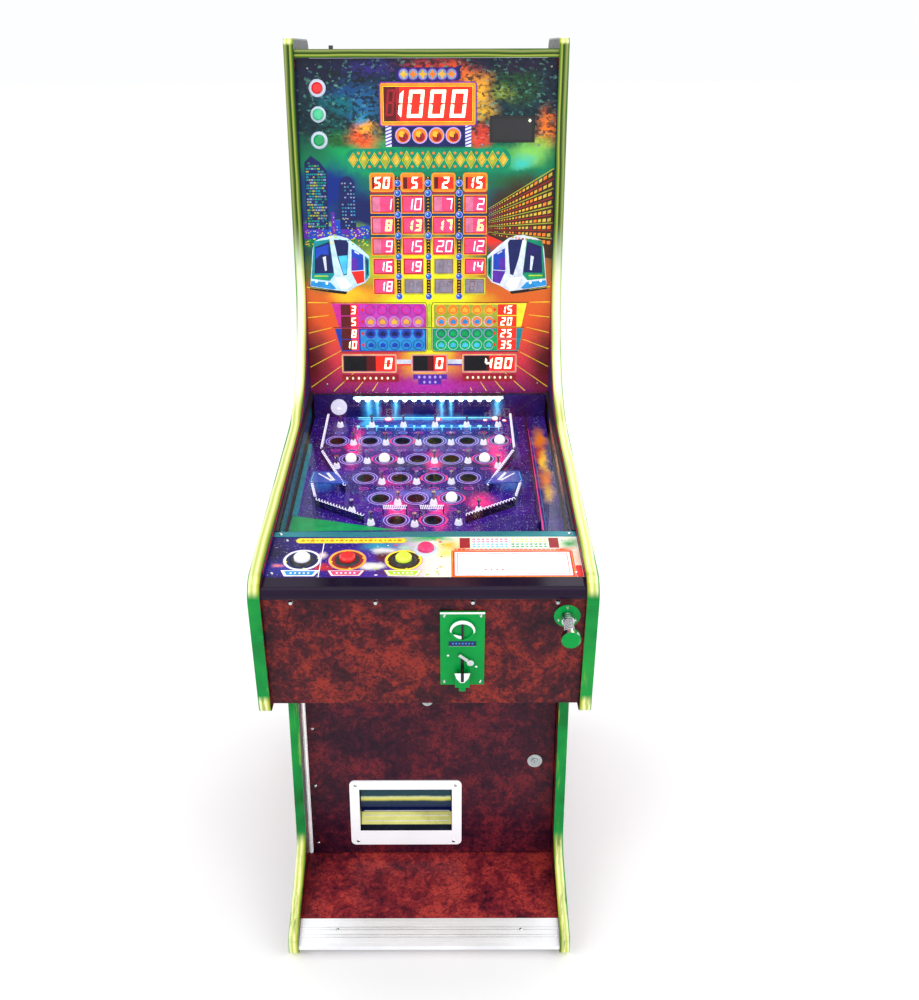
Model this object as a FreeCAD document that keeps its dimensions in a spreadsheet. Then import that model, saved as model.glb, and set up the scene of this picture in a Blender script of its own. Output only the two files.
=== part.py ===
import FreeCAD, Part
import math
import os

import Sketcher

# A coin-operated ball-and-holes amusement cabinet. X is to the right as the player sees it, Y runs from
# the player to the back, Z is up. The origin is on the floor, at the centre of the footprint.
# The deck frame is tilted by deck_slope about X: "along" runs up the playfield and "lift" is square to it.

DIMENSIONS = [
    ("cabinet_width", 510, "over the two side panels"),
    ("cabinet_height", 1555, "floor to the top of the side panels"),
    ("side_thickness", 18, "side panel board"),
    ("trim_thickness", 2.5, "edge moulding on the side panels"),
    ("board_thickness", 15, "all other boards"),
    ("glide_height", 5, "nylon glides under the side panels"),
    ("back_y", 500, "rear edge of the side panels"),
    ("head_front_y", 259, "front edge of the display head"),
    ("body_front_y", -143, "front edge of the lower body"),
    ("foot_front_y", -312, "front tip of the foot"),
    ("foot_tip_z", 44, "top of the foot's tip"),
    ("foot_slope", 23.5, "slope of the foot's upper edge, degrees"),
    ("belly_z", 588, "underside of the side panels below the deck"),
    ("deck_slope", 7.8, "playfield slope, degrees"),
    ("deck_front_y", -433.5, "deck frame origin"),
    ("deck_front_z", 810, "deck frame origin"),
    ("deck_inset", 15, "side panels stand this far above the deck"),
    ("side_overhang", 11, "side panels stand this far in front of the apron"),
    ("head_radius", 240, "sweep from the deck up to the head"),
    ("foot_radius", 60, "sweep from the body to the foot"),
    ("door_y", -106, "front face of the lower door"),
    ("door_bottom_z", 70, "lower door"),
    ("door_top_z", 440, "lower door"),
    ("door_gap", 3, "round the doors"),
    ("hinge_offset", 3.5, "hinge axis from the side panel"),
    ("knuckle_radius", 3.1, "door hinges"),
    ("hinge_pin_radius", 1.6, "door hinges"),
    ("panel_depth", 115, "control panel, front to back"),
    ("arm_rest_depth", 31, "bullnose in front of the control panel"),
    ("glass_start", 161, "along, front edge of the playfield glass"),
    ("glass_end", 692, "along, rear edge of the playfield glass"),
    ("glass_thickness", 4, "playfield glass"),
    ("playfield_drop", 55, "playfield surface below the deck"),
    ("playfield_thickness", 9, "plywood"),
    ("playfield_half", 231, "half width of the playfield"),
    ("field_centre_x", -20, "middle of the hole pattern"),
    ("hole_pitch", 62.5, "between holes in a row"),
    ("row_pitch", 74.5, "between rows"),
    ("first_row", 289, "along, the row of two"),
    ("hole_radius", 13.5, "catch holes"),
    ("ball_radius", 10.5, "balls"),
    ("shutter_travel", 30, "shutter board"),
    ("shutter_thickness", 5, "shutter board"),
    ("lane_x", 210.5, "shooter lane and plunger"),
    ("plunger_lift", -45, "plunger axis"),
    ("rod_radius", 4, "plunger rod"),
    ("apron_height", 211, "deck to the apron's lower edge"),
    ("coin_x", 57, "middle of the coin plate"),
    ("coin_lift", -104.5, "middle of the coin plate"),
    ("coin_width", 66, "coin plate"),
    ("coin_height", 134, "coin plate"),
    ("cap_radius", 12.4, "push-button caps"),
    ("bezel_radius", 19, "push-button bezels"),
    ("head_glass_lean", 1.5, "degrees from upright"),
    ("head_glass_y", 262, "front face of the head panel at its lower edge"),
    ("head_glass_z", 902, "lower edge of the head panel"),
    ("head_glass_height", 619.8, "head panel"),
    ("head_glass_thickness", 5, "head panel"),
    ("payout_x", -46.5, "middle of the payout cup"),
    ("payout_z", 165.5, "middle of the payout cup"),
    ("payout_width", 215, "payout cup flange"),
    ("payout_height", 149, "payout cup flange"),
    ("mouth_width", 178, "payout cup mouth"),
    ("mouth_height", 96, "payout cup mouth"),
    ("mouth_z", 172.5, "middle of the payout mouth"),
    ("rear_door_bottom_z", 602, "rear door"),
    ("rear_door_top_z", 1518, "rear door"),
]


class Size:
    """A length, angle or ratio: its value, and the sheet expression that gives it."""

    def __init__(self, value, text):
        self.value = float(value)
        self.text = text

    def __add__(self, other):
        other = size(other)
        return Size(self.value + other.value, f"({self.text} + {other.text})")

    def __sub__(self, other):
        other = size(other)
        return Size(self.value - other.value, f"({self.text} - {other.text})")

    def __mul__(self, other):
        other = size(other)
        return Size(self.value * other.value, f"{self.text} * {other.text}")

    def __truediv__(self, other):
        other = size(other)
        return Size(self.value / other.value, f"({self.text}) / ({other.text})")

    def __neg__(self):
        return Size(-self.value, f"(-1 * {self.text})")


def size(value):
    return value if isinstance(value, Size) else Size(value, f"({float(value):g})")


def sine(angle):
    return Size(math.sin(math.radians(angle.value)), f"sin({angle.text})")


def cosine(angle):
    return Size(math.cos(math.radians(angle.value)), f"cos({angle.text})")


def tangent(angle):
    return Size(math.tan(math.radians(angle.value)), f"tan({angle.text})")


class Sheet:
    """The driving dimensions, kept in the document's spreadsheet."""

    def __init__(self, doc):
        cells = doc.addObject("Spreadsheet::Sheet", "Dimensions")
        for row, (alias, value, note) in enumerate(DIMENSIONS, start=1):
            cells.set(f"A{row}", alias)
            cells.set(f"B{row}", str(value))
            cells.set(f"C{row}", note)
            cells.setAlias(f"B{row}", alias)
            setattr(self, alias, Size(value, f"Dimensions.{alias}"))


doc = FreeCAD.newDocument("Cabinet")
d = Sheet(doc)
doc.recompute()
NODES = {}

inner_half = d.cabinet_width / 2 - d.side_thickness
deck_sine = sine(d.deck_slope)
deck_cosine = cosine(d.deck_slope)
FLOOR_FRAME = (size(0), size(0), size(0), size(0))
DECK_FRAME = (size(0), d.deck_front_y, d.deck_front_z, d.deck_slope)
HEAD_FRAME = (size(0), d.head_glass_y, d.head_glass_z, -d.head_glass_lean)


# ---------------------------------------------------------------- helpers: placing and binding


def bind(thing, prop, amount):
    thing.setExpression(prop, size(amount).text)


def in_frame(frame, x, y, z):
    """A frame's local point as x, y, z of the cabinet."""
    fx, fy, fz, tilt = frame
    if frame is FLOOR_FRAME:
        return x, y, z
    across = cosine(tilt) * y - sine(tilt) * z
    up = sine(tilt) * y + cosine(tilt) * z
    return fx + x, fy + across, fz + up


def place(thing, frame, x, y, z, axis="z"):
    """Puts a primitive at a frame's local point, with its own Z along that frame's axis."""
    tilt = frame[3]
    turn = {"z": (FreeCAD.Vector(1, 0, 0), tilt), "y": (FreeCAD.Vector(1, 0, 0), tilt - 90)}
    turn["x"] = (FreeCAD.Vector(0, 1, 0), size(90))
    pivot, angle = turn[axis]
    thing.Placement = FreeCAD.Placement(FreeCAD.Vector(), FreeCAD.Rotation(pivot, angle.value))
    for prop, amount in zip("xyz", in_frame(frame, size(x), size(y), size(z))):
        bind(thing, f"Placement.Base.{prop}", amount)
    bind(thing, "Placement.Rotation.Angle", angle)


def box(name, x, y, z, frame=FLOOR_FRAME):
    """A block between pairs of local coordinates."""
    block = doc.addObject("Part::Box", name)
    for prop, (low, high) in zip(("Length", "Width", "Height"), (x, y, z)):
        bind(block, prop, size(high) - low)
    place(block, frame, x[0], y[0], z[0])
    return block


def cylinder(name, centre, radius, length, axis="z", frame=FLOOR_FRAME):
    """A rod that starts at centre and runs along the axis."""
    rod = doc.addObject("Part::Cylinder", name)
    bind(rod, "Radius", radius)
    bind(rod, "Height", length)
    place(rod, frame, *centre, axis=axis)
    return rod


def cone(name, centre, radius_1, radius_2, length, axis="z", frame=FLOOR_FRAME):
    taper = doc.addObject("Part::Cone", name)
    bind(taper, "Radius1", radius_1)
    bind(taper, "Radius2", radius_2)
    bind(taper, "Height", length)
    place(taper, frame, *centre, axis=axis)
    return taper


def cut(name, base, *tools):
    """Base less each tool."""
    for number, tool in enumerate(tools):
        step = doc.addObject("Part::Cut", f"{name}_cut{number}")
        step.Base = base
        step.Tool = tool
        base = step
    return base


def fuse(name, *parts):
    joined = doc.addObject("Part::MultiFuse", name)
    joined.Shapes = list(parts)
    return joined


def group(name, *parts):
    """Separate solids kept as one piece of hardware."""
    several = doc.addObject("Part::Compound", name)
    several.Links = list(parts)
    return several


def in_deck(name, solids):
    """Solids built in the deck frame's own coordinates, set into it as one object."""
    several = doc.addObject("Part::Feature", name)
    several.Shape = Part.makeCompound(solids)
    place(several, DECK_FRAME, 0, 0, 0)
    return several


def node(label, thing):
    """Marks a finished piece, which is written to parts/label.step."""
    thing.Label = label
    NODES[label] = thing
    return thing


# ---------------------------------------------------------------- helpers: bodies and sketches


def body(name, frame=FLOOR_FRAME, x=0, y=0, z=0):
    new_body = doc.addObject("PartDesign::Body", name)
    place(new_body, frame, x, y, z)
    return new_body


def sketch(owner, plane):
    """A sketch on one of the body's own origin planes: XY_Plane, XZ_Plane or YZ_Plane."""
    count = len(owner.Group)
    new_sketch = owner.newObject("Sketcher::SketchObject", f"{owner.Name}_sketch{count}")
    face = [feature for feature in owner.Origin.OriginFeatures if feature.Role == plane][0]
    new_sketch.AttachmentSupport = [(face, "")]
    new_sketch.MapMode = "FlatFace"
    return new_sketch


def fix_point(drawing, geometry, end, x, y):
    for kind, amount in (("DistanceX", x), ("DistanceY", y)):
        index = drawing.addConstraint(Sketcher.Constraint(kind, geometry, end, amount.value))
        bind(drawing, f"Constraints[{index}]", amount)


def polygon(drawing, points):
    """A closed outline through points, each held by two dimensions."""
    points = [(size(x), size(y)) for x, y in points]
    first = drawing.GeometryCount
    vectors = [FreeCAD.Vector(x.value, y.value, 0) for x, y in points]
    for start, end in zip(vectors, vectors[1:] + vectors[:1]):
        drawing.addGeometry(Part.LineSegment(start, end), False)
    for number, (x, y) in enumerate(points):
        following = first + (number + 1) % len(points)
        drawing.addConstraint(Sketcher.Constraint("Coincident", first + number, 2, following, 1))
        fix_point(drawing, first + number, 1, x, y)


def rectangle(drawing, x, y):
    polygon(drawing, [(x[0], y[0]), (x[1], y[0]), (x[1], y[1]), (x[0], y[1])])


def circle(drawing, x, y, radius):
    x, y, radius = size(x), size(y), size(radius)
    centre = FreeCAD.Vector(x.value, y.value, 0)
    ring = drawing.addGeometry(Part.Circle(centre, FreeCAD.Vector(0, 0, 1), radius.value), False)
    index = drawing.addConstraint(Sketcher.Constraint("Radius", ring, radius.value))
    bind(drawing, f"Constraints[{index}]", radius)
    fix_point(drawing, ring, 3, x, y)


def pad(owner, drawing, length, reverse=False):
    feature = owner.newObject("PartDesign::Pad", f"{owner.Name}_pad{len(owner.Group)}")
    feature.Profile = drawing
    bind(feature, "Length", length)
    feature.Reversed = reverse
    owner.Tip = feature
    return feature


def pocket(owner, drawing, reverse=False):
    """Cuts the drawing right through, and makes sure that it removed something."""
    doc.recompute()
    before = owner.Shape.Volume
    feature = owner.newObject("PartDesign::Pocket", f"{owner.Name}_pocket{len(owner.Group)}")
    feature.Profile = drawing
    feature.Type = "ThroughAll"
    feature.Reversed = reverse
    owner.Tip = feature
    doc.recompute()
    if owner.Shape.Volume > before - 1:
        raise RuntimeError(f"{owner.Name}: a pocket cut nothing")
    return feature


def round_corners(owner, points, radius):
    """Fillets the edges along X that pass through the outline's points."""
    doc.recompute()
    found = []
    for number, edge in enumerate(owner.Shape.Edges, start=1):
        ends = [(vertex.Point.y, vertex.Point.z) for vertex in edge.Vertexes]
        for y, z in points:
            target = (y.value, z.value)
            if len(ends) == 2 and all(math.dist(end, target) < 0.01 for end in ends):
                found.append(f"Edge{number}")
    if len(found) != len(points):
        raise RuntimeError(f"{owner.Name}: {len(found)} of {len(points)} corners found")
    base = owner.Tip
    feature = owner.newObject("PartDesign::Fillet", f"{owner.Name}_fillet{len(owner.Group)}")
    feature.Base = (base, found)
    bind(feature, "Radius", radius)
    owner.Tip = feature


# ---------------------------------------------------------------- side panels and edge mouldings

front_edge = -d.side_overhang
top_edge = d.deck_inset
bottom_lift = (d.belly_z - d.deck_front_z - front_edge * deck_sine) / deck_cosine
head_along = (d.head_front_y - d.deck_front_y + top_edge * deck_sine) / deck_cosine


def side_outline():
    """The side panel's corners, with the radius of each, clockwise from the foot."""
    foot_corner_z = d.foot_tip_z + (d.body_front_y - d.foot_front_y) * tangent(d.foot_slope)
    belly_front = in_frame(DECK_FRAME, size(0), front_edge, bottom_lift)
    deck_front = in_frame(DECK_FRAME, size(0), front_edge, top_edge)
    deck_rear = in_frame(DECK_FRAME, size(0), head_along, top_edge)
    return [
        (d.foot_front_y, d.glide_height, 14),
        (d.foot_front_y, d.foot_tip_z, 14),
        (d.body_front_y, foot_corner_z, d.foot_radius),
        (d.body_front_y, d.belly_z, 30),
        (belly_front[1], belly_front[2], 14),
        (deck_front[1], deck_front[2], 34),
        (d.head_front_y, deck_rear[2], d.head_radius),
        (d.head_front_y, d.cabinet_height, 14),
        (d.back_y, d.cabinet_height, 30),
        (d.back_y, d.glide_height, 14),
    ]


def side_panels():
    """Each panel is the outline less its moulding, and the moulding is the band left round it."""
    corners = side_outline()
    outline = body("side_outline", x=-d.cabinet_width / 2)
    drawing = sketch(outline, "YZ_Plane")
    polygon(drawing, [(y, z) for y, z, radius in corners])
    pad(outline, drawing, d.side_thickness)
    radii = {size(radius).text: size(radius) for y, z, radius in corners}
    for text, radius in radii.items():
        points = [(y, z) for y, z, own in corners if size(own).text == text]
        round_corners(outline, points, radius)
    doc.recompute()
    flat = [face for face in outline.Shape.Faces if abs(face.normalAt(0, 0).x + 1) < 1e-6][0]
    inset = flat.makeOffset2D(-d.trim_thickness.value)
    board = doc.addObject("Part::Feature", "side_board")
    board.Shape = inset.extrude(FreeCAD.Vector(d.side_thickness.value, 0, 0))
    node("side_panel_left", board)
    trim = node("edge_trim_left", cut("edge_trim", outline, board))
    for label, source in (("side_panel_right", board), ("edge_trim_right", trim)):
        twin = doc.addObject("Part::Mirroring", label)
        twin.Source = source
        twin.Normal = (1, 0, 0)
        node(label, twin)


# ---------------------------------------------------------------- boards of the cabinet

across = (-inner_half, inner_half)
panel_back_y = d.door_y + d.board_thickness
rear_face_y = d.back_y - 3
rear_inside_y = rear_face_y - d.board_thickness
top_board_z = d.cabinet_height - 18
kick_bend_y = d.door_y - 155
kick_bend_z = size(45)


def carcass_boards():
    top = box("top", across, (d.head_front_y + 11, d.back_y - 3), (top_board_z - 15, top_board_z))
    plug = cylinder("top_plug", (size(-172), d.head_front_y + 20, top_board_z - 2), 4, 8)
    node("top_board", fuse("top_with_plug", top, plug))
    nose_y = d.head_front_y + 5
    nose = box("top_nose", across, (nose_y, nose_y + 6), (top_board_z - 14.5, top_board_z - 0.5))
    node("top_edge_trim", nose)


def inner_frame():
    """Fixed boards inside: floor, belly, the board above the lower door, and the battens the locks catch."""
    floor = box("floor", across, (panel_back_y + 1, rear_inside_y - 1), (28, 43))
    apron_back = in_frame(DECK_FRAME, size(0), d.board_thickness, -d.apron_height)[1] + 4
    belly = box("belly", across, (apron_back, d.door_y), (603, 615))
    upper = box("upper", across, (d.door_y, panel_back_y), (d.door_top_z + d.door_gap, 620))
    batten_x = (inner_half - 15, inner_half)
    front_batten = box("front_batten", batten_x, (panel_back_y + 0.5, panel_back_y + 7), (240, 330))
    rear_batten = box("rear_batten", batten_x, (rear_inside_y - 7, rear_inside_y - 0.5), (1020, 1100))
    node("inner_frame", group("frame_boards", floor, belly, upper, front_batten, rear_batten))


def kick_parts():
    """A sloping toe board and the aluminium scuff plate that finishes it."""
    board = body("kick_board", x=-inner_half)
    drawing = sketch(board, "YZ_Plane")
    toe_top = d.door_bottom_z - d.door_gap
    outline = [(panel_back_y, toe_top), (d.door_y, toe_top), (kick_bend_y, kick_bend_z)]
    outline += [(kick_bend_y, kick_bend_z - 12), (d.door_y, toe_top - 12), (panel_back_y, toe_top - 12)]
    polygon(drawing, outline)
    pad(board, drawing, inner_half * 2)
    node("kick_board", board)
    plate = body("kick_plate", x=-inner_half)
    drawing = sketch(plate, "YZ_Plane")
    back_y, front_y = kick_bend_y - 0.5, d.foot_front_y + 4
    high_z, low_z = kick_bend_z + 2, size(25)
    outline = [(back_y, high_z), (front_y, low_z), (front_y, low_z - 8), (front_y + 2, low_z - 8)]
    outline += [(front_y + 2, low_z - 1.5), (back_y, high_z - 3)]
    polygon(drawing, outline)
    pad(plate, drawing, inner_half * 2)
    node("kick_plate", plate)


def rear_panels():
    """The fixed lower panel has louvres and the mains inlet; the upper one is a door."""
    lower = body("rear_lower_panel", y=rear_face_y)
    drawing = sketch(lower, "XZ_Plane")
    rectangle(drawing, across, (28, d.rear_door_bottom_z - d.door_gap))
    pad(lower, drawing, d.board_thickness)
    slots = sketch(lower, "XZ_Plane")
    for number in range(6):
        low = 420 + 20 * number
        rectangle(slots, (-90, 90), (low, low + 8))
    rectangle(slots, (126, 154), (86, 106))
    pocket(lower, slots, reverse=True)
    node("rear_lower_panel", lower)
    shell = box("inlet_shell", (127, 153), (rear_inside_y - 12, rear_face_y), (87, 105))
    flange = box("inlet_flange", (120, 160), (rear_face_y, rear_face_y + 2), (82, 110))
    well = box("inlet_well", (129, 151), (rear_face_y - 14, rear_face_y + 3), (89, 103))
    pins = []
    for x in (134, 140, 146):
        z_pair = (94, 98) if x != 140 else (96, 100)
        pins.append(box(f"inlet_pin{x}", (x - 1, x + 1), (rear_face_y - 15, rear_face_y - 4), z_pair))
    socket = cut("inlet", fuse("inlet_body", shell, flange), well)
    node("power_inlet", fuse("inlet_with_pins", socket, *pins))


# ---------------------------------------------------------------- hinges and locks


def hinge_half(name, axis_y, inward, low_z, high_z, own, count, leaf_x, leaf_reach):
    """Every second knuckle of a long hinge with its leaf. own is 0 or 1, inward is +1 or -1 along Y."""
    axis_x = -inner_half + d.hinge_offset
    pitch = (size(high_z) - low_z) / count
    near = axis_y + inward * 3.6
    far = axis_y + inward * leaf_reach
    leaf = box(f"{name}_leaf", leaf_x, (near, far) if inward > 0 else (far, near), (low_z, high_z))
    pieces = [leaf]
    for number in range(own, count, 2):
        base = size(low_z) + pitch * number + 0.2
        length = pitch - 0.4
        barrel = cylinder(f"{name}_barrel{number}", (axis_x, axis_y, base), d.knuckle_radius, length)
        span = (axis_y, near + 0.4) if inward > 0 else (near - 0.4, axis_y)
        web = box(f"{name}_web{number}", leaf_x, span, (base, base + length))
        bore_radius = d.hinge_pin_radius + (0.05 if own else 0)
        bore = cylinder(f"{name}_bore{number}", (axis_x, axis_y, base - 1), bore_radius, length + 2)
        pieces.append(cut(f"{name}_knuckle{number}", fuse(f"{name}_join{number}", barrel, web), bore))
    return fuse(name, *pieces)


def hinge_parts():
    """One long hinge per door: fixed leaf and pin on the cabinet, moving leaf on the door."""
    fixed_leaf_x = (-inner_half, -inner_half + 1)
    moving_leaf_x = (-inner_half + 6, -inner_half + 7)
    axis_x = -inner_half + d.hinge_offset
    fixed = []
    spans = [
        ("door_hinge", d.door_y - 2, 1, d.door_bottom_z + 2, d.door_top_z - 2, 15),
        ("rear_hinge", rear_face_y + 2, -1, d.rear_door_bottom_z + 10, d.rear_door_top_z - 10, 25),
    ]
    for name, axis_y, inward, low_z, high_z, count in spans:
        part = (axis_y, inward, low_z, high_z)
        fixed.append(hinge_half(f"{name}_fixed", *part, 0, count, fixed_leaf_x, 26))
        pin_length = high_z - low_z
        fixed.append(cylinder(f"{name}_pin", (axis_x, axis_y, low_z), d.hinge_pin_radius, pin_length))
        moving = hinge_half(f"{name}_moving", *part, 1, count, moving_leaf_x, 16)
        node(f"{name}_leaf", moving)
    node("hinge_fixed_leaves", group("fixed_hinge_parts", *fixed))


def lock_barrel(name, x, face_y, z, outward, radius):
    """Lock housing through a board: a domed flange outside and a sleeve for the turning plug."""
    near = face_y - 2.5 if outward < 0 else face_y
    flange = cylinder(f"{name}_flange", (x, near, z), radius, 2.5, axis="y")
    start = face_y if outward < 0 else face_y - 23
    sleeve = cylinder(f"{name}_sleeve", (x, start, z), 8.6, 23, axis="y")
    bore = cylinder(f"{name}_bore", (x, face_y - 40, z), 6.3, 80, axis="y")
    return cut(f"{name}_barrel", fuse(f"{name}_shell", flange, sleeve), bore)


def lock_plug(name, x, face_y, z, outward, cam_x, cam_z):
    """The turning plug with its keyway, and the cam on its inner end, clear of what it catches."""
    start = face_y - 4 if outward < 0 else face_y - 27
    plug = cylinder(f"{name}_core", (x, start, z), 6, 31, axis="y")
    mouth = start - 1 if outward < 0 else start + 25
    keyway = box(f"{name}_keyway", (size(x) - 0.8, size(x) + 0.8), (mouth, mouth + 7), (z - 4, z + 4))
    cam_y = start + 29 if outward < 0 else start
    reach_x = (size(x) + cam_x[0], size(x) + cam_x[1])
    cam = box(f"{name}_cam", reach_x, (cam_y, cam_y + 2), (z + cam_z[0], z + cam_z[1]))
    return fuse(f"{name}_turning", cut(f"{name}_plug", plug, keyway), cam)


door_lock = (size(199.5), size(285))
top_lock = (size(-3), size(417))
rear_lock = (size(205), size(1060))


def locks():
    front = d.door_y
    side = lock_barrel("door_lock", door_lock[0], front, door_lock[1], -1, 14)
    top = lock_barrel("top_lock", top_lock[0], front, top_lock[1], -1, 10)
    node("door_lock_barrels", group("door_locks", side, top))
    hanging, sideways = ((-7, 7), (-30, 7)), ((-7, 32), (-7, 7))
    node("door_lock_plug", lock_plug("door_lock", door_lock[0], front, door_lock[1], -1, *hanging))
    node("top_lock_plug", lock_plug("top_lock", top_lock[0], front, top_lock[1], -1, *sideways))
    rear = rear_face_y
    node("rear_lock_barrel", lock_barrel("rear_lock", rear_lock[0], rear, rear_lock[1], 1, 12))
    node("rear_lock_plug", lock_plug("rear_lock", rear_lock[0], rear, rear_lock[1], 1, (-7, 7), (-26, 7)))


# ---------------------------------------------------------------- doors and the payout cup

door_left = -inner_half + 7
door_right = inner_half - 1
cup_left = d.payout_x - d.mouth_width / 2
cup_right = d.payout_x + d.mouth_width / 2
mouth_low = d.mouth_z - d.mouth_height / 2
mouth_high = d.mouth_z + d.mouth_height / 2
CUP_SHEET = 1.5
CUP_DEPTH = 78
FLAP_DROP = 44


def front_door():
    door = body("front_door", y=d.door_y)
    drawing = sketch(door, "XZ_Plane")
    rectangle(drawing, (door_left, door_right), (d.door_bottom_z, d.door_top_z))
    pad(door, drawing, d.board_thickness, reverse=True)
    holes = sketch(door, "XZ_Plane")
    margin = CUP_SHEET + 1
    rectangle(holes, (cup_left - margin, cup_right + margin), (mouth_low - margin, mouth_high + margin))
    circle(holes, *door_lock, 8.8)
    circle(holes, *top_lock, 8.8)
    pocket(door, holes)
    node("front_door", door)


def payout_cup():
    """Flange and sheet-metal pocket in one piece, open to the player, with a payout slot in its back."""
    half_w, half_h = d.payout_width / 2, d.payout_height / 2
    flange_x = (d.payout_x - half_w, d.payout_x + half_w)
    flange_z = (d.payout_z - half_h, d.payout_z + half_h)
    flange = box("cup_flange", flange_x, (d.door_y - 3, d.door_y), flange_z)
    flange_round = doc.addObject("Part::Fillet", "cup_flange_round")
    flange_round.Base = flange
    doc.recompute()
    corners = []
    for number, edge in enumerate(flange.Shape.Edges, start=1):
        ends = edge.Vertexes
        if abs(ends[0].Point.x - ends[1].Point.x) < 1e-6 and abs(ends[0].Point.z - ends[1].Point.z) < 1e-6:
            corners.append((number, 10.0, 10.0))
    flange_round.Edges = corners
    outer = (cup_left - CUP_SHEET, cup_right + CUP_SHEET)
    rear_y = d.door_y + CUP_DEPTH
    shell_z = (mouth_low - CUP_SHEET, mouth_high + CUP_SHEET)
    shell = box("cup_shell", outer, (d.door_y, rear_y), shell_z)
    hollow_depth = (d.door_y - 4, rear_y - CUP_SHEET)
    hollow = box("cup_hollow", (cup_left, cup_right), hollow_depth, (mouth_low, mouth_high))
    slot_rise = (mouth_high - 34, mouth_high - 4)
    slot = box("cup_slot", (cup_left + 54, cup_right - 54), (rear_y - 4, rear_y + 1), slot_rise)
    sheet = cut("cup_sheet", fuse("cup_body", flange_round, shell), hollow, slot)
    ramp = body("cup_ramp", x=cup_left)
    drawing = sketch(ramp, "YZ_Plane")
    ramp_back = rear_y - CUP_SHEET
    polygon(drawing, [(d.door_y + 10, mouth_low), (ramp_back, mouth_low), (ramp_back, mouth_low + 26)])
    pad(ramp, drawing, d.mouth_width)
    node("payout_cup", fuse("cup_and_ramp", sheet, ramp))


def payout_flap():
    """Anti-theft flap on a rod across the cup's mouth. It swings inwards."""
    rod_y, rod_z = d.door_y + 10, mouth_high - 5
    gap = 0.4
    rod = cylinder("flap_rod", (cup_left + gap, rod_y, rod_z), 2, d.mouth_width - 2 * gap, axis="x")
    plate_x = (cup_left + 2, cup_right - 2)
    plate = box("flap_plate", plate_x, (rod_y - 0.8, rod_y + 0.8), (rod_z - FLAP_DROP, rod_z))
    lip = box("flap_lip", plate_x, (rod_y - 0.8, rod_y + 3.2), (rod_z - FLAP_DROP, rod_z - FLAP_DROP + 1.6))
    node("payout_flap", fuse("flap", rod, plate, lip))


def rear_door():
    door = body("rear_door", y=rear_face_y)
    drawing = sketch(door, "XZ_Plane")
    rectangle(drawing, (door_left, door_right), (d.rear_door_bottom_z, d.rear_door_top_z))
    pad(door, drawing, d.board_thickness)
    holes = sketch(door, "XZ_Plane")
    for number in range(8):
        low = 1330 + 20 * number
        rectangle(holes, (-120, 120), (low, low + 8))
    circle(holes, *rear_lock, 8.8)
    pocket(door, holes, reverse=True)
    node("rear_door", door)


# ---------------------------------------------------------------- apron, arm rest and control panel

BIG_BUTTONS = [("button_white", -184.5, 80), ("button_red", -116, 80), ("button_yellow", -31, 79)]
SMALL_BUTTON = ("button_pink", 2, 107)
BOLT_X = (-194, -70, 72, 196)
coin_left = d.coin_x - d.coin_width / 2
coin_right = d.coin_x + d.coin_width / 2
coin_low = d.coin_lift - d.coin_height / 2
coin_high = d.coin_lift + d.coin_height / 2
panel_front = d.arm_rest_depth
panel_rear = d.arm_rest_depth + d.panel_depth
playfield_top = -d.playfield_drop
playfield_under = playfield_top - d.playfield_thickness


def apron():
    board = body("apron", frame=DECK_FRAME)
    drawing = sketch(board, "XZ_Plane")
    rectangle(drawing, across, (-d.apron_height, -15))
    pad(board, drawing, d.board_thickness, reverse=True)
    holes = sketch(board, "XZ_Plane")
    rectangle(holes, (coin_left + 5, coin_right - 5), (coin_low + 6, coin_high - 6))
    circle(holes, d.lane_x, d.plunger_lift, 10.2)
    for x in BOLT_X:
        circle(holes, x, -22, 3)
    pocket(board, holes)
    node("apron", board)


def arm_rest():
    """Glossy black bullnose that hides the joint between the apron and the control panel."""
    rest = body("arm_rest", frame=DECK_FRAME, x=-inner_half)
    drawing = sketch(rest, "YZ_Plane")
    outline = [(-5, -15), (panel_front - 0.2, -15), (panel_front - 0.2, 1.5), (-5, 1.5)]
    polygon(drawing, outline)
    pad(rest, drawing, inner_half * 2)
    doc.recompute()
    for point, radius in (((-5, 1.5), 12), ((-5, -15), 3)):
        found = []
        for number, edge in enumerate(rest.Tip.Shape.Edges, start=1):
            ends = [(vertex.Point.y, vertex.Point.z) for vertex in edge.Vertexes]
            if len(ends) == 2 and all(math.dist(end, point) < 0.01 for end in ends):
                found.append(f"Edge{number}")
        base = rest.Tip
        corner = rest.newObject("PartDesign::Fillet", f"arm_rest_round{radius}")
        corner.Base = (base, found)
        corner.Radius = radius
        rest.Tip = corner
        doc.recompute()
    node("arm_rest", rest)


def control_panel():
    panel = body("control_panel", frame=DECK_FRAME)
    drawing = sketch(panel, "XY_Plane")
    rectangle(drawing, across, (panel_front, panel_rear - 0.3))
    pad(panel, drawing, 6, reverse=True)
    holes = sketch(panel, "XY_Plane")
    for name, x, along in [*BIG_BUTTONS, SMALL_BUTTON]:
        circle(holes, x, along, 14.2)
    pocket(panel, holes)
    node("control_panel", panel)
    bar = box("stop_bar", across, (panel_rear, d.glass_start - 0.3), (-6, 1), frame=DECK_FRAME)
    node("glass_stop_bar", bar)


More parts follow.
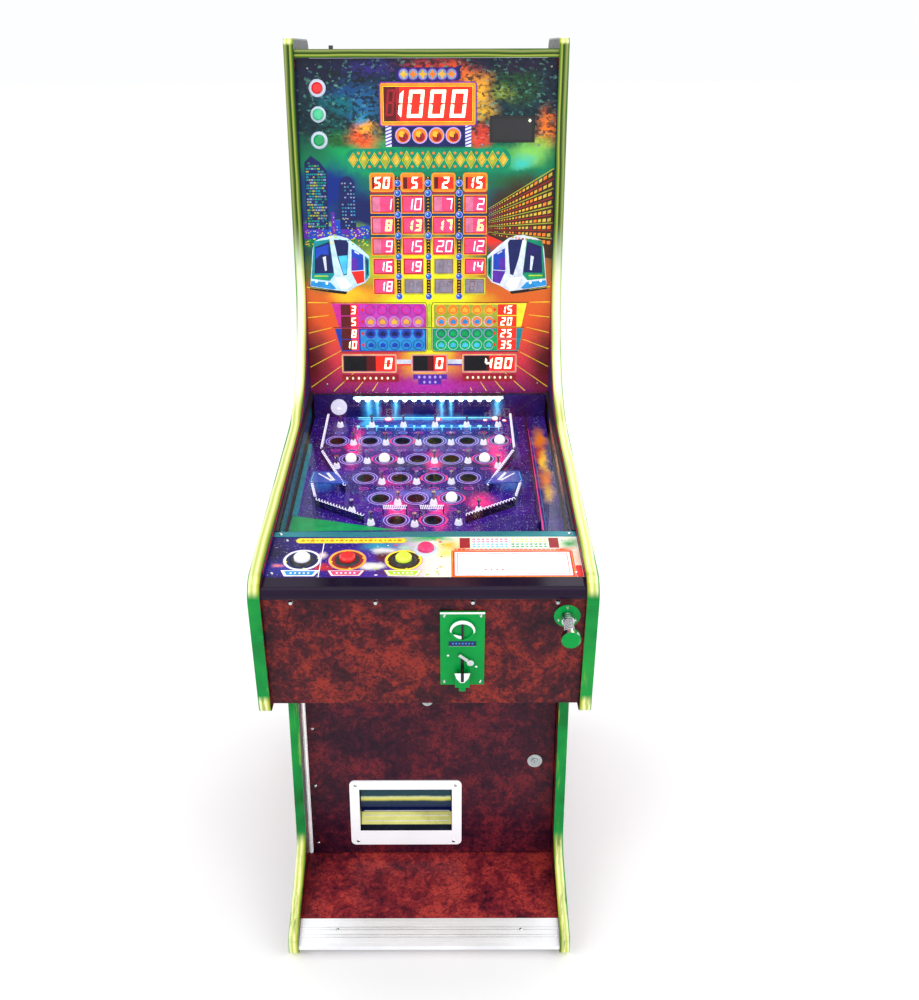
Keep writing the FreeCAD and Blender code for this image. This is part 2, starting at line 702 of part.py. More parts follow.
def push_button(name, frame, x, y, axis, bezel_radius, cap_radius):
    """A panel button: threaded housing with its bezel and nut, and the cap that travels inside it."""
    bezel_radius, cap_radius = size(bezel_radius), size(cap_radius)
    sign = 1 if axis == "z" else -1
    bore_radius = cap_radius + 0.5

    def along_axis(start, length):
        low = start if sign > 0 else -start - length
        return (x, y, low) if axis == "z" else (x, low, y)

    wide, narrow = bezel_radius, bezel_radius - 2.5
    radii = (wide, narrow) if sign > 0 else (narrow, wide)
    rim = cone(f"{name}_rim", along_axis(0, 3), *radii, 3, axis=axis, frame=frame)
    shank = cylinder(f"{name}_shank", along_axis(-28, 28), 14, 28, axis=axis, frame=frame)
    nut = cylinder(f"{name}_nut", along_axis(-12, 5), bezel_radius - 2, 5, axis=axis, frame=frame)
    bore = cylinder(f"{name}_bore", along_axis(-22, 30), bore_radius, 30, axis=axis, frame=frame)
    housing = cut(f"{name}_housing", fuse(f"{name}_shell", rim, shank, nut), bore)
    stem = cylinder(f"{name}_stem", along_axis(-16, 23), cap_radius, 23, axis=axis, frame=frame)
    crown_radii = (cap_radius, cap_radius - 3) if sign > 0 else (cap_radius - 3, cap_radius)
    crown = cone(f"{name}_crown", along_axis(7, 3), *crown_radii, 3, axis=axis, frame=frame)
    return housing, fuse(f"{name}_cap", stem, crown)


HEAD_BUTTONS = [("header_button_red", 569.5, True), ("header_lamp", 524, False)]
HEAD_BUTTONS += [("header_button_green", 479, True)]
HEAD_BUTTON_X = -199.5


def buttons():
    """Control panel buttons, the operator's two buttons on the head, and the lamp between them."""
    housings = []
    for name, x, along in [*BIG_BUTTONS, SMALL_BUTTON]:
        housing, cap = push_button(name, DECK_FRAME, x, along, "z", d.bezel_radius, d.cap_radius)
        housings.append(housing)
        node(name, cap)
    for name, lift, is_button in HEAD_BUTTONS:
        radius = 15.5 if is_button else 13.5
        housing, cap = push_button(name, HEAD_FRAME, HEAD_BUTTON_X, lift, "y", radius, 9.9)
        housings.append(housing)
        if is_button:
            node(name, cap)
        else:
            housings.append(cap)
    node("button_housings", group("all_housings", *housings))


# ---------------------------------------------------------------- playfield


def catch_holes():
    """Centres of the 20 catch holes: rows of 2, 3, 4, 5 and 6 going up the slope."""
    centres = []
    for row in range(5):
        along = d.first_row + d.row_pitch * row
        count = row + 2
        for number in range(count):
            x = d.field_centre_x + d.hole_pitch * (number - (count - 1) / 2)
            centres.append((x, along))
    return centres


LIFTER_ALONG = 205


def playfield():
    board = body("playfield_board", frame=DECK_FRAME, z=playfield_top)
    drawing = sketch(board, "XY_Plane")
    half = d.playfield_half
    rectangle(drawing, (-half, half), (d.glass_start + 2, d.glass_end + 2))
    pad(board, drawing, d.playfield_thickness, reverse=True)
    holes = sketch(board, "XY_Plane")
    for x, along in catch_holes():
        circle(holes, x, along, d.hole_radius)
    circle(holes, d.lane_x, LIFTER_ALONG, d.hole_radius)
    pocket(board, holes)
    node("playfield_board", board)
    along = (d.glass_start, d.glass_end)
    pane = box("glass", (-half - 3, half + 3), along, (-d.glass_thickness, 0), frame=DECK_FRAME)
    node("playfield_glass", pane)


def glass_channels():
    """Black channels on the side panels hold the glass's long edges."""
    both = []
    sides = (("left", -inner_half, -d.playfield_half), ("right", d.playfield_half, inner_half))
    for side, low, high in sides:
        span = (d.glass_start, d.glass_end)
        rail = box(f"channel_{side}", (low, high), span, (-9, 3), frame=DECK_FRAME)
        inner = (low + 3, high + 1) if side == "left" else (low - 1, high - 3)
        groove = box(f"groove_{side}", inner, (0, 800), (-4.1, 0.1), frame=DECK_FRAME)
        both.append(cut(f"channel_{side}_cut", rail, groove))
    node("glass_channels", group("channels", *both))


# (distance along the deck, number of posts) of each row
POST_ROWS = [(653, 6), (575, 5), (500, 4), (420, 3), (345, 2), (272, 1)]
EDGE_POSTS = [(-149, 480), (149, 480), (-109, 318), (109, 318), (-74, 277), (74, 277)]


def post_places():
    """Posts stand between the holes of each row, with pairs at the ends of the fences."""
    places = []
    for along, count in POST_ROWS:
        for number in range(count):
            x = d.field_centre_x + d.hole_pitch * (number - (count - 1) / 2)
            places.append((x, size(along)))
    for x, along in EDGE_POSTS:
        places.append((d.field_centre_x + x, size(along)))
    return places


def playfield_posts():
    """White collars that the balls bounce off, and the screws that hold them."""
    collars, screws = [], []
    for number, (x, along) in enumerate(post_places()):
        foot = (x, along, playfield_top)
        low = cone(f"collar{number}", foot, 7, 5, 8, frame=DECK_FRAME)
        hole = cylinder(f"collar_hole{number}", foot, 2.05, 9, frame=DECK_FRAME)
        collars.append(cut(f"collar_cut{number}", low, hole))
        shaft = cylinder(f"post_shaft{number}", (x, along, playfield_top + 0.1), 2, 20, frame=DECK_FRAME)
        head = cylinder(f"post_head{number}", (x, along, playfield_top + 20), 3.6, 4, frame=DECK_FRAME)
        screws.append(fuse(f"post_screw{number}", shaft, head))
    disc_place = (-181, d.glass_end - 4.5, -31)
    disc = cylinder("rebound_disc", disc_place, 16, 6, axis="y", frame=DECK_FRAME)
    recess = cylinder("rebound_recess", (-181, d.glass_end - 5, -31), 3.2, 3, axis="y", frame=DECK_FRAME)
    node("post_collars", group("collars", *collars, cut("rebound", disc, recess)))
    return screws


def wall_strip(name, start, end, width, low, high):
    """A straight wall on the playfield between two local points, as a numeric solid."""
    (x1, a1), (x2, a2) = start, end
    length = math.dist(start, end)
    strip = Part.makeBox(length, width, high - low, FreeCAD.Vector(0, -width / 2, 0))
    strip.rotate(FreeCAD.Vector(), FreeCAD.Vector(0, 0, 1), math.degrees(math.atan2(a2 - a1, x2 - x1)))
    strip.translate(FreeCAD.Vector(x1, a1, low))
    return strip


FENCE_RUNS = [
    # from the centre line, mirrored: the upper fence, the inward slope, and the funnel below it
    ((181, 676), (181, 528)),
    ((179, 518), (126, 384)),
    ((186, 398), (174, 344)),
    ((172, 336), (86, 280)),
]
GATE_PLACES = (-34.5, 28.5)


def ball_rails():
    """Fences either side of the holes, the shooter lane's wall, and two wire gates over the last row."""
    low = playfield_top.value
    centre = d.field_centre_x.value
    solids = []
    for start, end in FENCE_RUNS:
        for side in (-1, 1):
            ends = [(centre + side * x, along) for x, along in (start, end)]
            solids.append(wall_strip("fence", *ends, 3, low, low + 14))
    lane = wall_strip("lane", (189, 250), (189, 686), 4, low, low + 20)
    solids.append(lane)
    for place_x in GATE_PLACES:
        x = centre + place_x
        bar = Part.makeCylinder(1.2, 44, FreeCAD.Vector(x - 22, 306, low + 16), FreeCAD.Vector(1, 0, 0))
        for leg_x in (x - 20, x + 20):
            leg = Part.makeCylinder(1.2, 16.4, FreeCAD.Vector(leg_x, 306, low))
            bar = bar.fuse(leg)
        solids.append(bar)
    half = d.playfield_half
    wall = box("field_wall", (-half, half), (d.glass_end + 2, d.glass_end + 8), (-64, -5), frame=DECK_FRAME)
    node("ball_rails", group("rails_and_wall", in_deck("rails", solids), wall))


def corner_plastics():
    """Tinted plates on two tubes each, over the fences' lower corners."""
    centre = d.field_centre_x
    plates = []
    for side in (-1, 1):
        plate = body(f"plastic{side + 1}", frame=DECK_FRAME, x=centre, z=playfield_top + 15)
        drawing = sketch(plate, "XY_Plane")
        corners = [(190 * side, 392), (120 * side, 388), (150 * side, 430), (186 * side, 432)]
        polygon(drawing, corners if side < 0 else corners[::-1])
        pad(plate, drawing, 2.5)
        plates.append(plate)
        for number, (x, along) in enumerate(((176, 421), (150, 404))):
            foot = (centre + x * side, along, playfield_top)
            plates.append(cylinder(f"tube{side + 1}_{number}", foot, 3, 14.9, frame=DECK_FRAME))
    node("corner_plastics", group("plastics", *plates))


BALL_HOLES = (19, 9, 10, 13, 4)
LANE_BALL_ALONG = 176.9


def balls():
    """Caught balls sit on the shutter in their holes, and one waits in the shooter lane."""
    solids = []
    holes = catch_holes()
    rest_lift = playfield_under.value + d.ball_radius.value + 0.1
    places = [(holes[number][0].value, holes[number][1].value, rest_lift) for number in BALL_HOLES]
    lane_lift = playfield_top.value + d.ball_radius.value + 0.1
    places.append((d.lane_x.value, LANE_BALL_ALONG, lane_lift))
    for place_at in places:
        solids.append(Part.makeSphere(d.ball_radius.value, FreeCAD.Vector(*place_at)))
    node("balls", in_deck("loose_balls", solids))


def shutter():
    """Sliding board under the playfield. Its holes line up with the catch holes at full travel."""
    board = body("shutter", frame=DECK_FRAME, z=playfield_under - 0.3)
    drawing = sketch(board, "XY_Plane")
    centre = d.field_centre_x
    rectangle(drawing, (centre - 200, centre + 150), (d.first_row - 30, d.first_row + d.row_pitch * 4 + 30))
    pad(board, drawing, d.shutter_thickness, reverse=True)
    holes = sketch(board, "XY_Plane")
    for x, along in catch_holes():
        circle(holes, x - d.shutter_travel, along, d.hole_radius)
    pocket(board, holes)
    core_place = (centre + 149, 430, playfield_under - 8)
    core = cylinder("solenoid_core", core_place, 4, 46, axis="x", frame=DECK_FRAME)
    pad_lift = (playfield_under - 13, playfield_under - 0.3)
    tab = box("shutter_tab", (centre + 145, centre + 150), (422, 438), pad_lift, frame=DECK_FRAME)
    node("shutter_board", fuse("shutter_moving", board, tab, core))


def under_field():
    """Return trough, the shutter's solenoid and the ball lifter's solenoid."""
    floor_lift = -118
    outer = box("trough_outer", (-215, 226), (190, 690), (floor_lift - 3, floor_lift + 22), frame=DECK_FRAME)
    inner = box("trough_inner", (-212, 223), (193, 687), (floor_lift, floor_lift + 23), frame=DECK_FRAME)
    drop = cylinder("trough_drop", (d.lane_x, LIFTER_ALONG, floor_lift - 4), 9, 10, frame=DECK_FRAME)
    tray = cut("trough", outer, inner, drop)
    coil = cylinder("lifter_coil", (d.lane_x, LIFTER_ALONG, floor_lift - 45), 14, 41, frame=DECK_FRAME)
    bore = cylinder("lifter_bore", (d.lane_x, LIFTER_ALONG, floor_lift - 46), 8.4, 43, frame=DECK_FRAME)
    lifter_solenoid = cut("lifter_solenoid", coil, bore)
    centre = d.field_centre_x
    coil_place = (centre + 182, 430, playfield_under - 8)
    block = cylinder("shutter_coil", coil_place, 8, 44, axis="x", frame=DECK_FRAME)
    well_place = (centre + 181, 430, playfield_under - 8)
    well = cylinder("shutter_coil_bore", well_place, 4.4, 48, axis="x", frame=DECK_FRAME)
    node("ball_trough", group("trough_parts", tray, lifter_solenoid, cut("shutter_solenoid", block, well)))
    rod = cylinder("lifter_rod", (d.lane_x, LIFTER_ALONG, floor_lift - 79), 8, 78, frame=DECK_FRAME)
    dish = cone("lifter_dish", (d.lane_x, LIFTER_ALONG, floor_lift - 2.5), 4, 7, 1.6, frame=DECK_FRAME)
    node("ball_lifter", cut("lifter", rod, dish))


def led_strip():
    """Light bar above the top of the playfield: a channel with 16 lamps."""
    rail = box("led_rail", (-152, 148), (d.glass_end - 8, d.glass_end + 1.8), (-12, -5), frame=DECK_FRAME)
    lamps = []
    for number in range(16):
        x = -141 + 18.5 * number
        place_at = (x, d.glass_end - 14, -9)
        lamps.append(cylinder(f"lamp{number}", place_at, 3.8, 7, axis="y", frame=DECK_FRAME))
    node("led_strip", fuse("led_bar", rail, *lamps))


# ---------------------------------------------------------------- coin entry and plunger


def coin_parts():
    """Coin plate with its entry ring, slots and return cup, and the acceptor behind it."""
    x = d.coin_x
    plate = box("coin_plate", (coin_left, coin_right), (-4, 0), (coin_low, coin_high), frame=DECK_FRAME)
    ring = cylinder("coin_ring", (x, -8, d.coin_lift + 37), 19, 4, axis="y", frame=DECK_FRAME)
    cup = box("return_cup", (x - 11, x + 11), (-15, -4), (coin_low + 3, coin_low + 28), frame=DECK_FRAME)
    chute = box("return_chute", (x - 5, x + 5), (-9, -3), (coin_low - 9, coin_low + 4), frame=DECK_FRAME)
    solid = fuse("coin_front", plate, ring, cup, chute)
    dish = cylinder("coin_dish", (x, -9, d.coin_lift + 37), 15.5, 4, axis="y", frame=DECK_FRAME)
    slot_rise = (d.coin_lift + 22, d.coin_lift + 52)
    slot = box("coin_slot", (x - 1.6, x + 1.6), (-10, 1), slot_rise, frame=DECK_FRAME)
    well = box("return_well", (x - 8, x + 8), (-12.5, -3.5), (coin_low + 6, coin_low + 29), frame=DECK_FRAME)
    exit_rise = (coin_low + 8, coin_low + 45)
    exit_slot = box("return_slot", (x - 2.5, x + 2.5), (-12.5, 1), exit_rise, frame=DECK_FRAME)
    label_rise = (d.coin_lift + 5, d.coin_lift + 15)
    window = box("coin_label", (x - 21, x + 21), (-4.5, -3), label_rise, frame=DECK_FRAME)
    pivot = cylinder("lever_bore", (x + 12, -5, d.coin_lift - 22), 3.3, 8, axis="y", frame=DECK_FRAME)
    node("coin_faceplate", cut("coin_face", solid, dish, slot, well, exit_slot, window, pivot))
    inner_x = (coin_left + 6, coin_right - 6)
    acceptor = box("acceptor", inner_x, (0, 72), (coin_low + 7, coin_high - 7), frame=DECK_FRAME)
    path = box("coin_path", (x - 2.2, x + 2.2), (-1, 60), (coin_low + 6, coin_high - 12), frame=DECK_FRAME)
    room = cylinder("lever_room", (x + 12, -1, d.coin_lift - 22), 4.2, 8, axis="y", frame=DECK_FRAME)
    node("coin_acceptor", cut("acceptor_cut", acceptor, path, room))
    arm = Part.makeBox(4.8, 3, 22, FreeCAD.Vector(-2.4, -8.5, 0))
    arm_frame_x, arm_frame_lift = x + 12, d.coin_lift - 22
    arm.rotate(FreeCAD.Vector(), FreeCAD.Vector(0, 1, 0), -50)
    arm.translate(FreeCAD.Vector(arm_frame_x.value, 0, arm_frame_lift.value))
    turned = in_deck("lever_arm", [arm])
    hub = cylinder("lever_hub", (arm_frame_x, -9.5, arm_frame_lift), 5.2, 5, axis="y", frame=DECK_FRAME)
    spindle_place = (arm_frame_x, -4.6, arm_frame_lift)
    spindle = cylinder("lever_spindle", spindle_place, 2.9, 11, axis="y", frame=DECK_FRAME)
    node("coin_return_lever", fuse("lever", turned, hub, spindle))


def plunger_parts():
    """Pull-and-release ball shooter: flanged sleeve, knobbed rod with tip, and return spring."""
    x, lift = d.lane_x, d.plunger_lift
    flange = cylinder("shooter_flange", (x, -3, lift), 19.5, 3, axis="y", frame=DECK_FRAME)
    nose = cylinder("shooter_nose", (x, -18, lift), 8, 16, axis="y", frame=DECK_FRAME)
    tail = cylinder("shooter_tail", (x, -1, lift), 10, 42, axis="y", frame=DECK_FRAME)
    parts = [flange, nose, tail]
    for number in range(3):
        ring_place = (x, -17 + 5 * number, lift)
        ring = cylinder(f"nose_ring{number}", ring_place, 9.4, 2.4, axis="y", frame=DECK_FRAME)
        parts.append(ring)
    bore = cylinder("shooter_bore", (x, -30, lift), d.rod_radius + 0.35, 100, axis="y", frame=DECK_FRAME)
    well = cylinder("shooter_well", (x, 6, lift), 7.5, 60, axis="y", frame=DECK_FRAME)
    node("plunger_housing", cut("shooter", fuse("shooter_shell", *parts), bore, well))
    rod = cylinder("shooter_rod", (x, -52, lift), d.rod_radius, 206, axis="y", frame=DECK_FRAME)
    knob = cylinder("shooter_knob", (x, -62, lift), 14, 9, axis="y", frame=DECK_FRAME)
    knob_back = cone("shooter_knob_back", (x, -53, lift), 14, 6, 7, axis="y", frame=DECK_FRAME)
    knob_front = cone("shooter_knob_front", (x, -66, lift), 11, 14, 4, axis="y", frame=DECK_FRAME)
    washer = cylinder("shooter_washer", (x, 108, lift), 6.5, 2, axis="y", frame=DECK_FRAME)
    tip = cylinder("shooter_tip", (x, 152, lift), 5.5, 14, axis="y", frame=DECK_FRAME)
    node("plunger_rod", fuse("shooter_moving", rod, knob, knob_back, knob_front, washer, tip))


def coil_spring(start, end, coils, radius, wire_radius):
    """A round-wire spring along the plunger's axis, in the deck frame's coordinates."""
    pitch = (end - start - 2 * wire_radius) / coils
    helix = Part.makeHelix(pitch, pitch * coils, radius)
    section = Part.Circle(FreeCAD.Vector(radius, 0, 0), FreeCAD.Vector(0, 1, 0), wire_radius)
    profile = Part.Wire([section.toShape()])
    coil = Part.Wire(helix.Edges).makePipeShell([profile], True, True)
    coil.rotate(FreeCAD.Vector(), FreeCAD.Vector(1, 0, 0), -90)
    coil.translate(FreeCAD.Vector(d.lane_x.value, start + wire_radius, d.plunger_lift.value))
    return coil


def plunger_springs():
    """The return spring between sleeve and washer, and the cushion spring that rides behind the knob."""
    coil = coil_spring(41.5, 107.7, 11, 5.6, 0.65)
    node("plunger_spring", in_deck("return_spring", [coil]))
    cushion = coil_spring(-45.7, -18.4, 7, 6.6, 0.9)
    node("plunger_cushion_spring", in_deck("cushion_spring", [cushion]))


# ---------------------------------------------------------------- display head


def head_parts():
    """The printed display panel, the meter window let into it, and the boards behind it."""
    pane = body("backglass", frame=HEAD_FRAME)
    drawing = sketch(pane, "XZ_Plane")
    rectangle(drawing, (-inner_half + 0.5, inner_half - 0.5), (-5, d.head_glass_height))
    pad(pane, drawing, d.head_glass_thickness, reverse=True)
    holes = sketch(pane, "XZ_Plane")
    for name, lift, is_button in HEAD_BUTTONS:
        circle(holes, HEAD_BUTTON_X, lift, 14.2)
    rectangle(holes, (115, 198), (474, 521))
    pocket(pane, holes)
    node("backglass", pane)
    front = box("meter_front", (115.3, 197.7), (2, 22), (474.3, 520.7), frame=HEAD_FRAME)
    rim = box("meter_rim", (110, 203), (5, 8), (469, 526), frame=HEAD_FRAME)
    hollow = box("meter_hollow", (118, 195), (1, 4), (477, 518), frame=HEAD_FRAME)
    lamp = cylinder("meter_lamp", (189, 0.5, 512.5), 2.2, 5, axis="y", frame=HEAD_FRAME)
    case = cut("meter_case", fuse("meter_solid", front, rim), hollow)
    node("meter_window", fuse("meter", case, lamp))


DISPLAY_MODULES = [
    # centre x, centre lift, width, height of each seven-segment module
    (1, 542, 172, 64),
    (-121, 56, 96, 30),
    (3, 56, 62, 30),
    (122, 56, 92, 30),
]


def circuit_boards():
    """Display board with its digit modules, and the game board on the back wall of the head."""
    board = box("display_board", (-212, 212), (30, 32), (20, 590), frame=HEAD_FRAME)
    upright_left = box("upright_left", (-inner_half, -205), (32, 44), (20, 590), frame=HEAD_FRAME)
    upright_right = box("upright_right", (205, inner_half), (32, 44), (20, 590), frame=HEAD_FRAME)
    modules = []
    places = list(DISPLAY_MODULES)
    for row in range(6):
        lift = 401 - 38.2 * row
        for column in range(4):
            places.append((-88 + 58.5 * column, lift, 46, 28))
    for number, (x, lift, width, height) in enumerate(places):
        span = (x - width / 2, x + width / 2)
        rise = (lift - height / 2, lift + height / 2)
        modules.append(box(f"digits{number}", span, (20, 30), rise, frame=HEAD_FRAME))
    display = fuse("display", board, *modules)
    shelf_y = rear_inside_y - 40
    game = box("game_board", (-120, 110), (shelf_y, shelf_y + 2), (980, 1160))
    chips = []
    chip_places = ((-80, 1120, 30), (-20, 1120, 40), (50, 1100, 24), (-60, 1030, 50))
    for number, (x, z, wide) in enumerate(chip_places):
        span = (x - wide / 2, x + wide / 2)
        chips.append(box(f"chip{number}", span, (shelf_y + 2, shelf_y + 7), (z - 9, z + 9)))
    rail = box("board_rail", (-inner_half, inner_half), (shelf_y - 12, shelf_y), (1060, 1090))
    game = fuse("game", game, *chips)
    node("circuit_boards", group("boards", display, upright_left, upright_right, game, rail))


# ---------------------------------------------------------------- inside the lower body


def inner_machinery():
    """Payout hopper behind the payout cup, and the mains power supply."""
    low = size(43)
    bin_outer = box("hopper_outer", (-120, 30), (0, 150), (low + 90, low + 250))
    bin_inner = box("hopper_inner", (-116, 26), (4, 146), (low + 94, low + 251))
    bin_shell = cut("hopper_bin", bin_outer, bin_inner)
    base = box("hopper_base", (-110, 20), (10, 140), (low, low + 90))
    motor = cylinder("hopper_motor", (-45, 140, low + 45), 22, 40, axis="y")
    node("coin_hopper", fuse("hopper", bin_shell, base, motor))
    case = box("supply_case", (80, 190), (200, 400), (low, low + 50))
    terminals = box("supply_terminals", (90, 180), (190, 200), (low + 5, low + 25))
    node("power_supply", fuse("supply", case, terminals))


# ---------------------------------------------------------------- fasteners and feet


def screw_head(name, centre, radius, axis="y", frame=FLOOR_FRAME, height=2, outward=-1):
    """A raised screw head that stands on a face."""
    x, y, z = (size(value) for value in centre)
    if axis == "y":
        low = y - height if outward < 0 else y
        radii = (radius * 0.62, radius) if outward < 0 else (radius, radius * 0.62)
        return cone(name, (x, low, z), *radii, height, axis="y", frame=frame)
    return cone(name, (x, y, z), radius, radius * 0.62, height, frame=frame)


def screws(post_screws):
    """Every screw and bolt head that stays on the cabinet."""
    heads = list(post_screws)
    for number, x in enumerate(BOLT_X):
        heads.append(screw_head(f"apron_bolt{number}", (x, 0, -22), 4.2, frame=DECK_FRAME, height=2.5))
        shank = (x, 0, -22)
        heads[-1] = fuse(
            f"apron_bolt_full{number}",
            heads[-1],
            cylinder(f"apron_shank{number}", shank, 2.9, 18, axis="y", frame=DECK_FRAME),
        )
    head_corners = [(-216, 603), (226, 605), (-204, 15), (215, 16), (101, 470), (206, 470)]
    for number, (x, lift) in enumerate(head_corners):
        heads.append(screw_head(f"head_screw{number}", (x, 0, lift), 2.6, frame=HEAD_FRAME, height=1.2))
    for number, x in enumerate((-226, 226)):
        place_at = (x, panel_rear + 7, 1)
        heads.append(screw_head(f"bar_screw{number}", place_at, 3, axis="z", frame=DECK_FRAME, height=1.5))
    panel_corners = [(-226, 44), (226, 44), (-214, 136), (214, 136)]
    for number, (x, along) in enumerate(panel_corners):
        place_at = (x, along, 0)
        screw = screw_head(f"panel_screw{number}", place_at, 2.6, axis="z", frame=DECK_FRAME, height=1.2)
        heads.append(screw)
    coin_corners = [(coin_left + 6, coin_high - 6), (coin_right - 6, coin_high - 6)]
    coin_corners += [(coin_left + 6, coin_low + 6), (coin_right - 6, coin_low + 6)]
    for number, (x, lift) in enumerate(coin_corners):
        heads.append(screw_head(f"coin_screw{number}", (x, -4, lift), 2.8, frame=DECK_FRAME, height=1.5))
    for number, angle in enumerate((90, 210, 330)):
        x = d.lane_x + 14.5 * math.cos(math.radians(angle))
        lift = d.plunger_lift + 14.5 * math.sin(math.radians(angle))
        heads.append(screw_head(f"shooter_screw{number}", (x, -3, lift), 2.2, frame=DECK_FRAME, height=1.2))
    node("screws", group("all_screws", *heads))


def feet():
    """Nylon glides nailed under the side panels."""
    glides = []
    for side in (-1, 1):
        x = (inner_half + d.side_thickness / 2) * side
        for number, y in enumerate((d.foot_front_y + 40, d.back_y - 40)):
            name = f"glide{side + 1}_{number}"
            glides.append(cone(name, (x, y, 0), 7, 8.5, d.glide_height))
    node("foot_glides", group("glides", *glides))


def door_screws():
    """Hinge screws on the lower door, and the screws of the payout cup's flange."""
    heads = []
    for number, z in enumerate((356, 227, 92.5)):
        heads.append(screw_head(f"hinge_screw{number}", (-219, d.door_y, z), 3, height=1.2))
    for number, (x, z) in enumerate(((-96, 64), (96, 64), (-94, -66), (92, -67))):
        place_at = (d.payout_x + x, d.door_y - 3, d.payout_z + z)
        heads.append(screw_head(f"cup_screw{number}", place_at, 3.2, height=1.2))
    node("door_screws", group("all_door_screws", *heads))


# ---------------------------------------------------------------- build, test and write


def build():
    side_panels()
    carcass_boards()
    inner_frame()
    kick_parts()
    rear_panels()
    hinge_parts()
    locks()
    front_door()
    payout_cup()
    payout_flap()
    rear_door()
    apron()
    arm_rest()
    control_panel()
    buttons()
    playfield()
    glass_channels()
    post_screws = playfield_posts()
    ball_rails()
    corner_plastics()
    balls()
    shutter()
    under_field()
    led_strip()
    coin_parts()
    plunger_parts()
    plunger_springs()
    head_parts()
    circuit_boards()
    inner_machinery()
    screws(post_screws)
    feet()
    door_screws()


def check_and_write():
    doc.recompute()
    faults = []
    for thing in doc.Objects:
        if "Invalid" in thing.State or "Error" in thing.State:
            faults.append(f"{thing.Name} {thing.State}")
    for label, thing in NODES.items():
        shape = thing.Shape
        if shape.isNull() or not shape.isValid() or not shape.Solids:
            faults.append(f"{label} has no valid solid")
    if faults:
        raise RuntimeError("; ".join(faults))
    os.makedirs("parts", exist_ok=True)
    for label, thing in NODES.items():
        thing.Shape.exportStep(f"parts/{label}.step")
    print(len(NODES), "nodes written")


build()
check_and_write()
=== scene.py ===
import math
import random

import bpy
from mathutils import Matrix, Vector


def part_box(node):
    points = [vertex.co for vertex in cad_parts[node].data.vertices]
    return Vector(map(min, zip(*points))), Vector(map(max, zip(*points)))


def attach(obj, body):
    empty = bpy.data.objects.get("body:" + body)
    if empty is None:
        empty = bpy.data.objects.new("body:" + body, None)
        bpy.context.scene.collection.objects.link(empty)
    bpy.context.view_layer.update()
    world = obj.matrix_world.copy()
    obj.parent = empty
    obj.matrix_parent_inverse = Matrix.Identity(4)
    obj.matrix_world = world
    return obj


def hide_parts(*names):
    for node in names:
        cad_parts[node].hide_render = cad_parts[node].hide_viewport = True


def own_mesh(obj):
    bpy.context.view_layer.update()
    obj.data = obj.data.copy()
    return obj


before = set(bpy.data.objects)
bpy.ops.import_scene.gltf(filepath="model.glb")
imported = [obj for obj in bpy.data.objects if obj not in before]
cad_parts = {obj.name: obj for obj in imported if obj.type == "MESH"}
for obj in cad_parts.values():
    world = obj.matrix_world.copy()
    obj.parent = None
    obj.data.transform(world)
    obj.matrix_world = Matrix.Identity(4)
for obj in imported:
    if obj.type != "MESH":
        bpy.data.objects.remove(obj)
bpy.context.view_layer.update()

MM = 0.001
CABINET = "cabinet"
INNER_HALF = 0.237  # metres from the middle of the machine to a side panel's inner face
DECK_COSINE = 0.9907  # cosine of the deck's slope


# ------------------------------------------------------------------ node materials


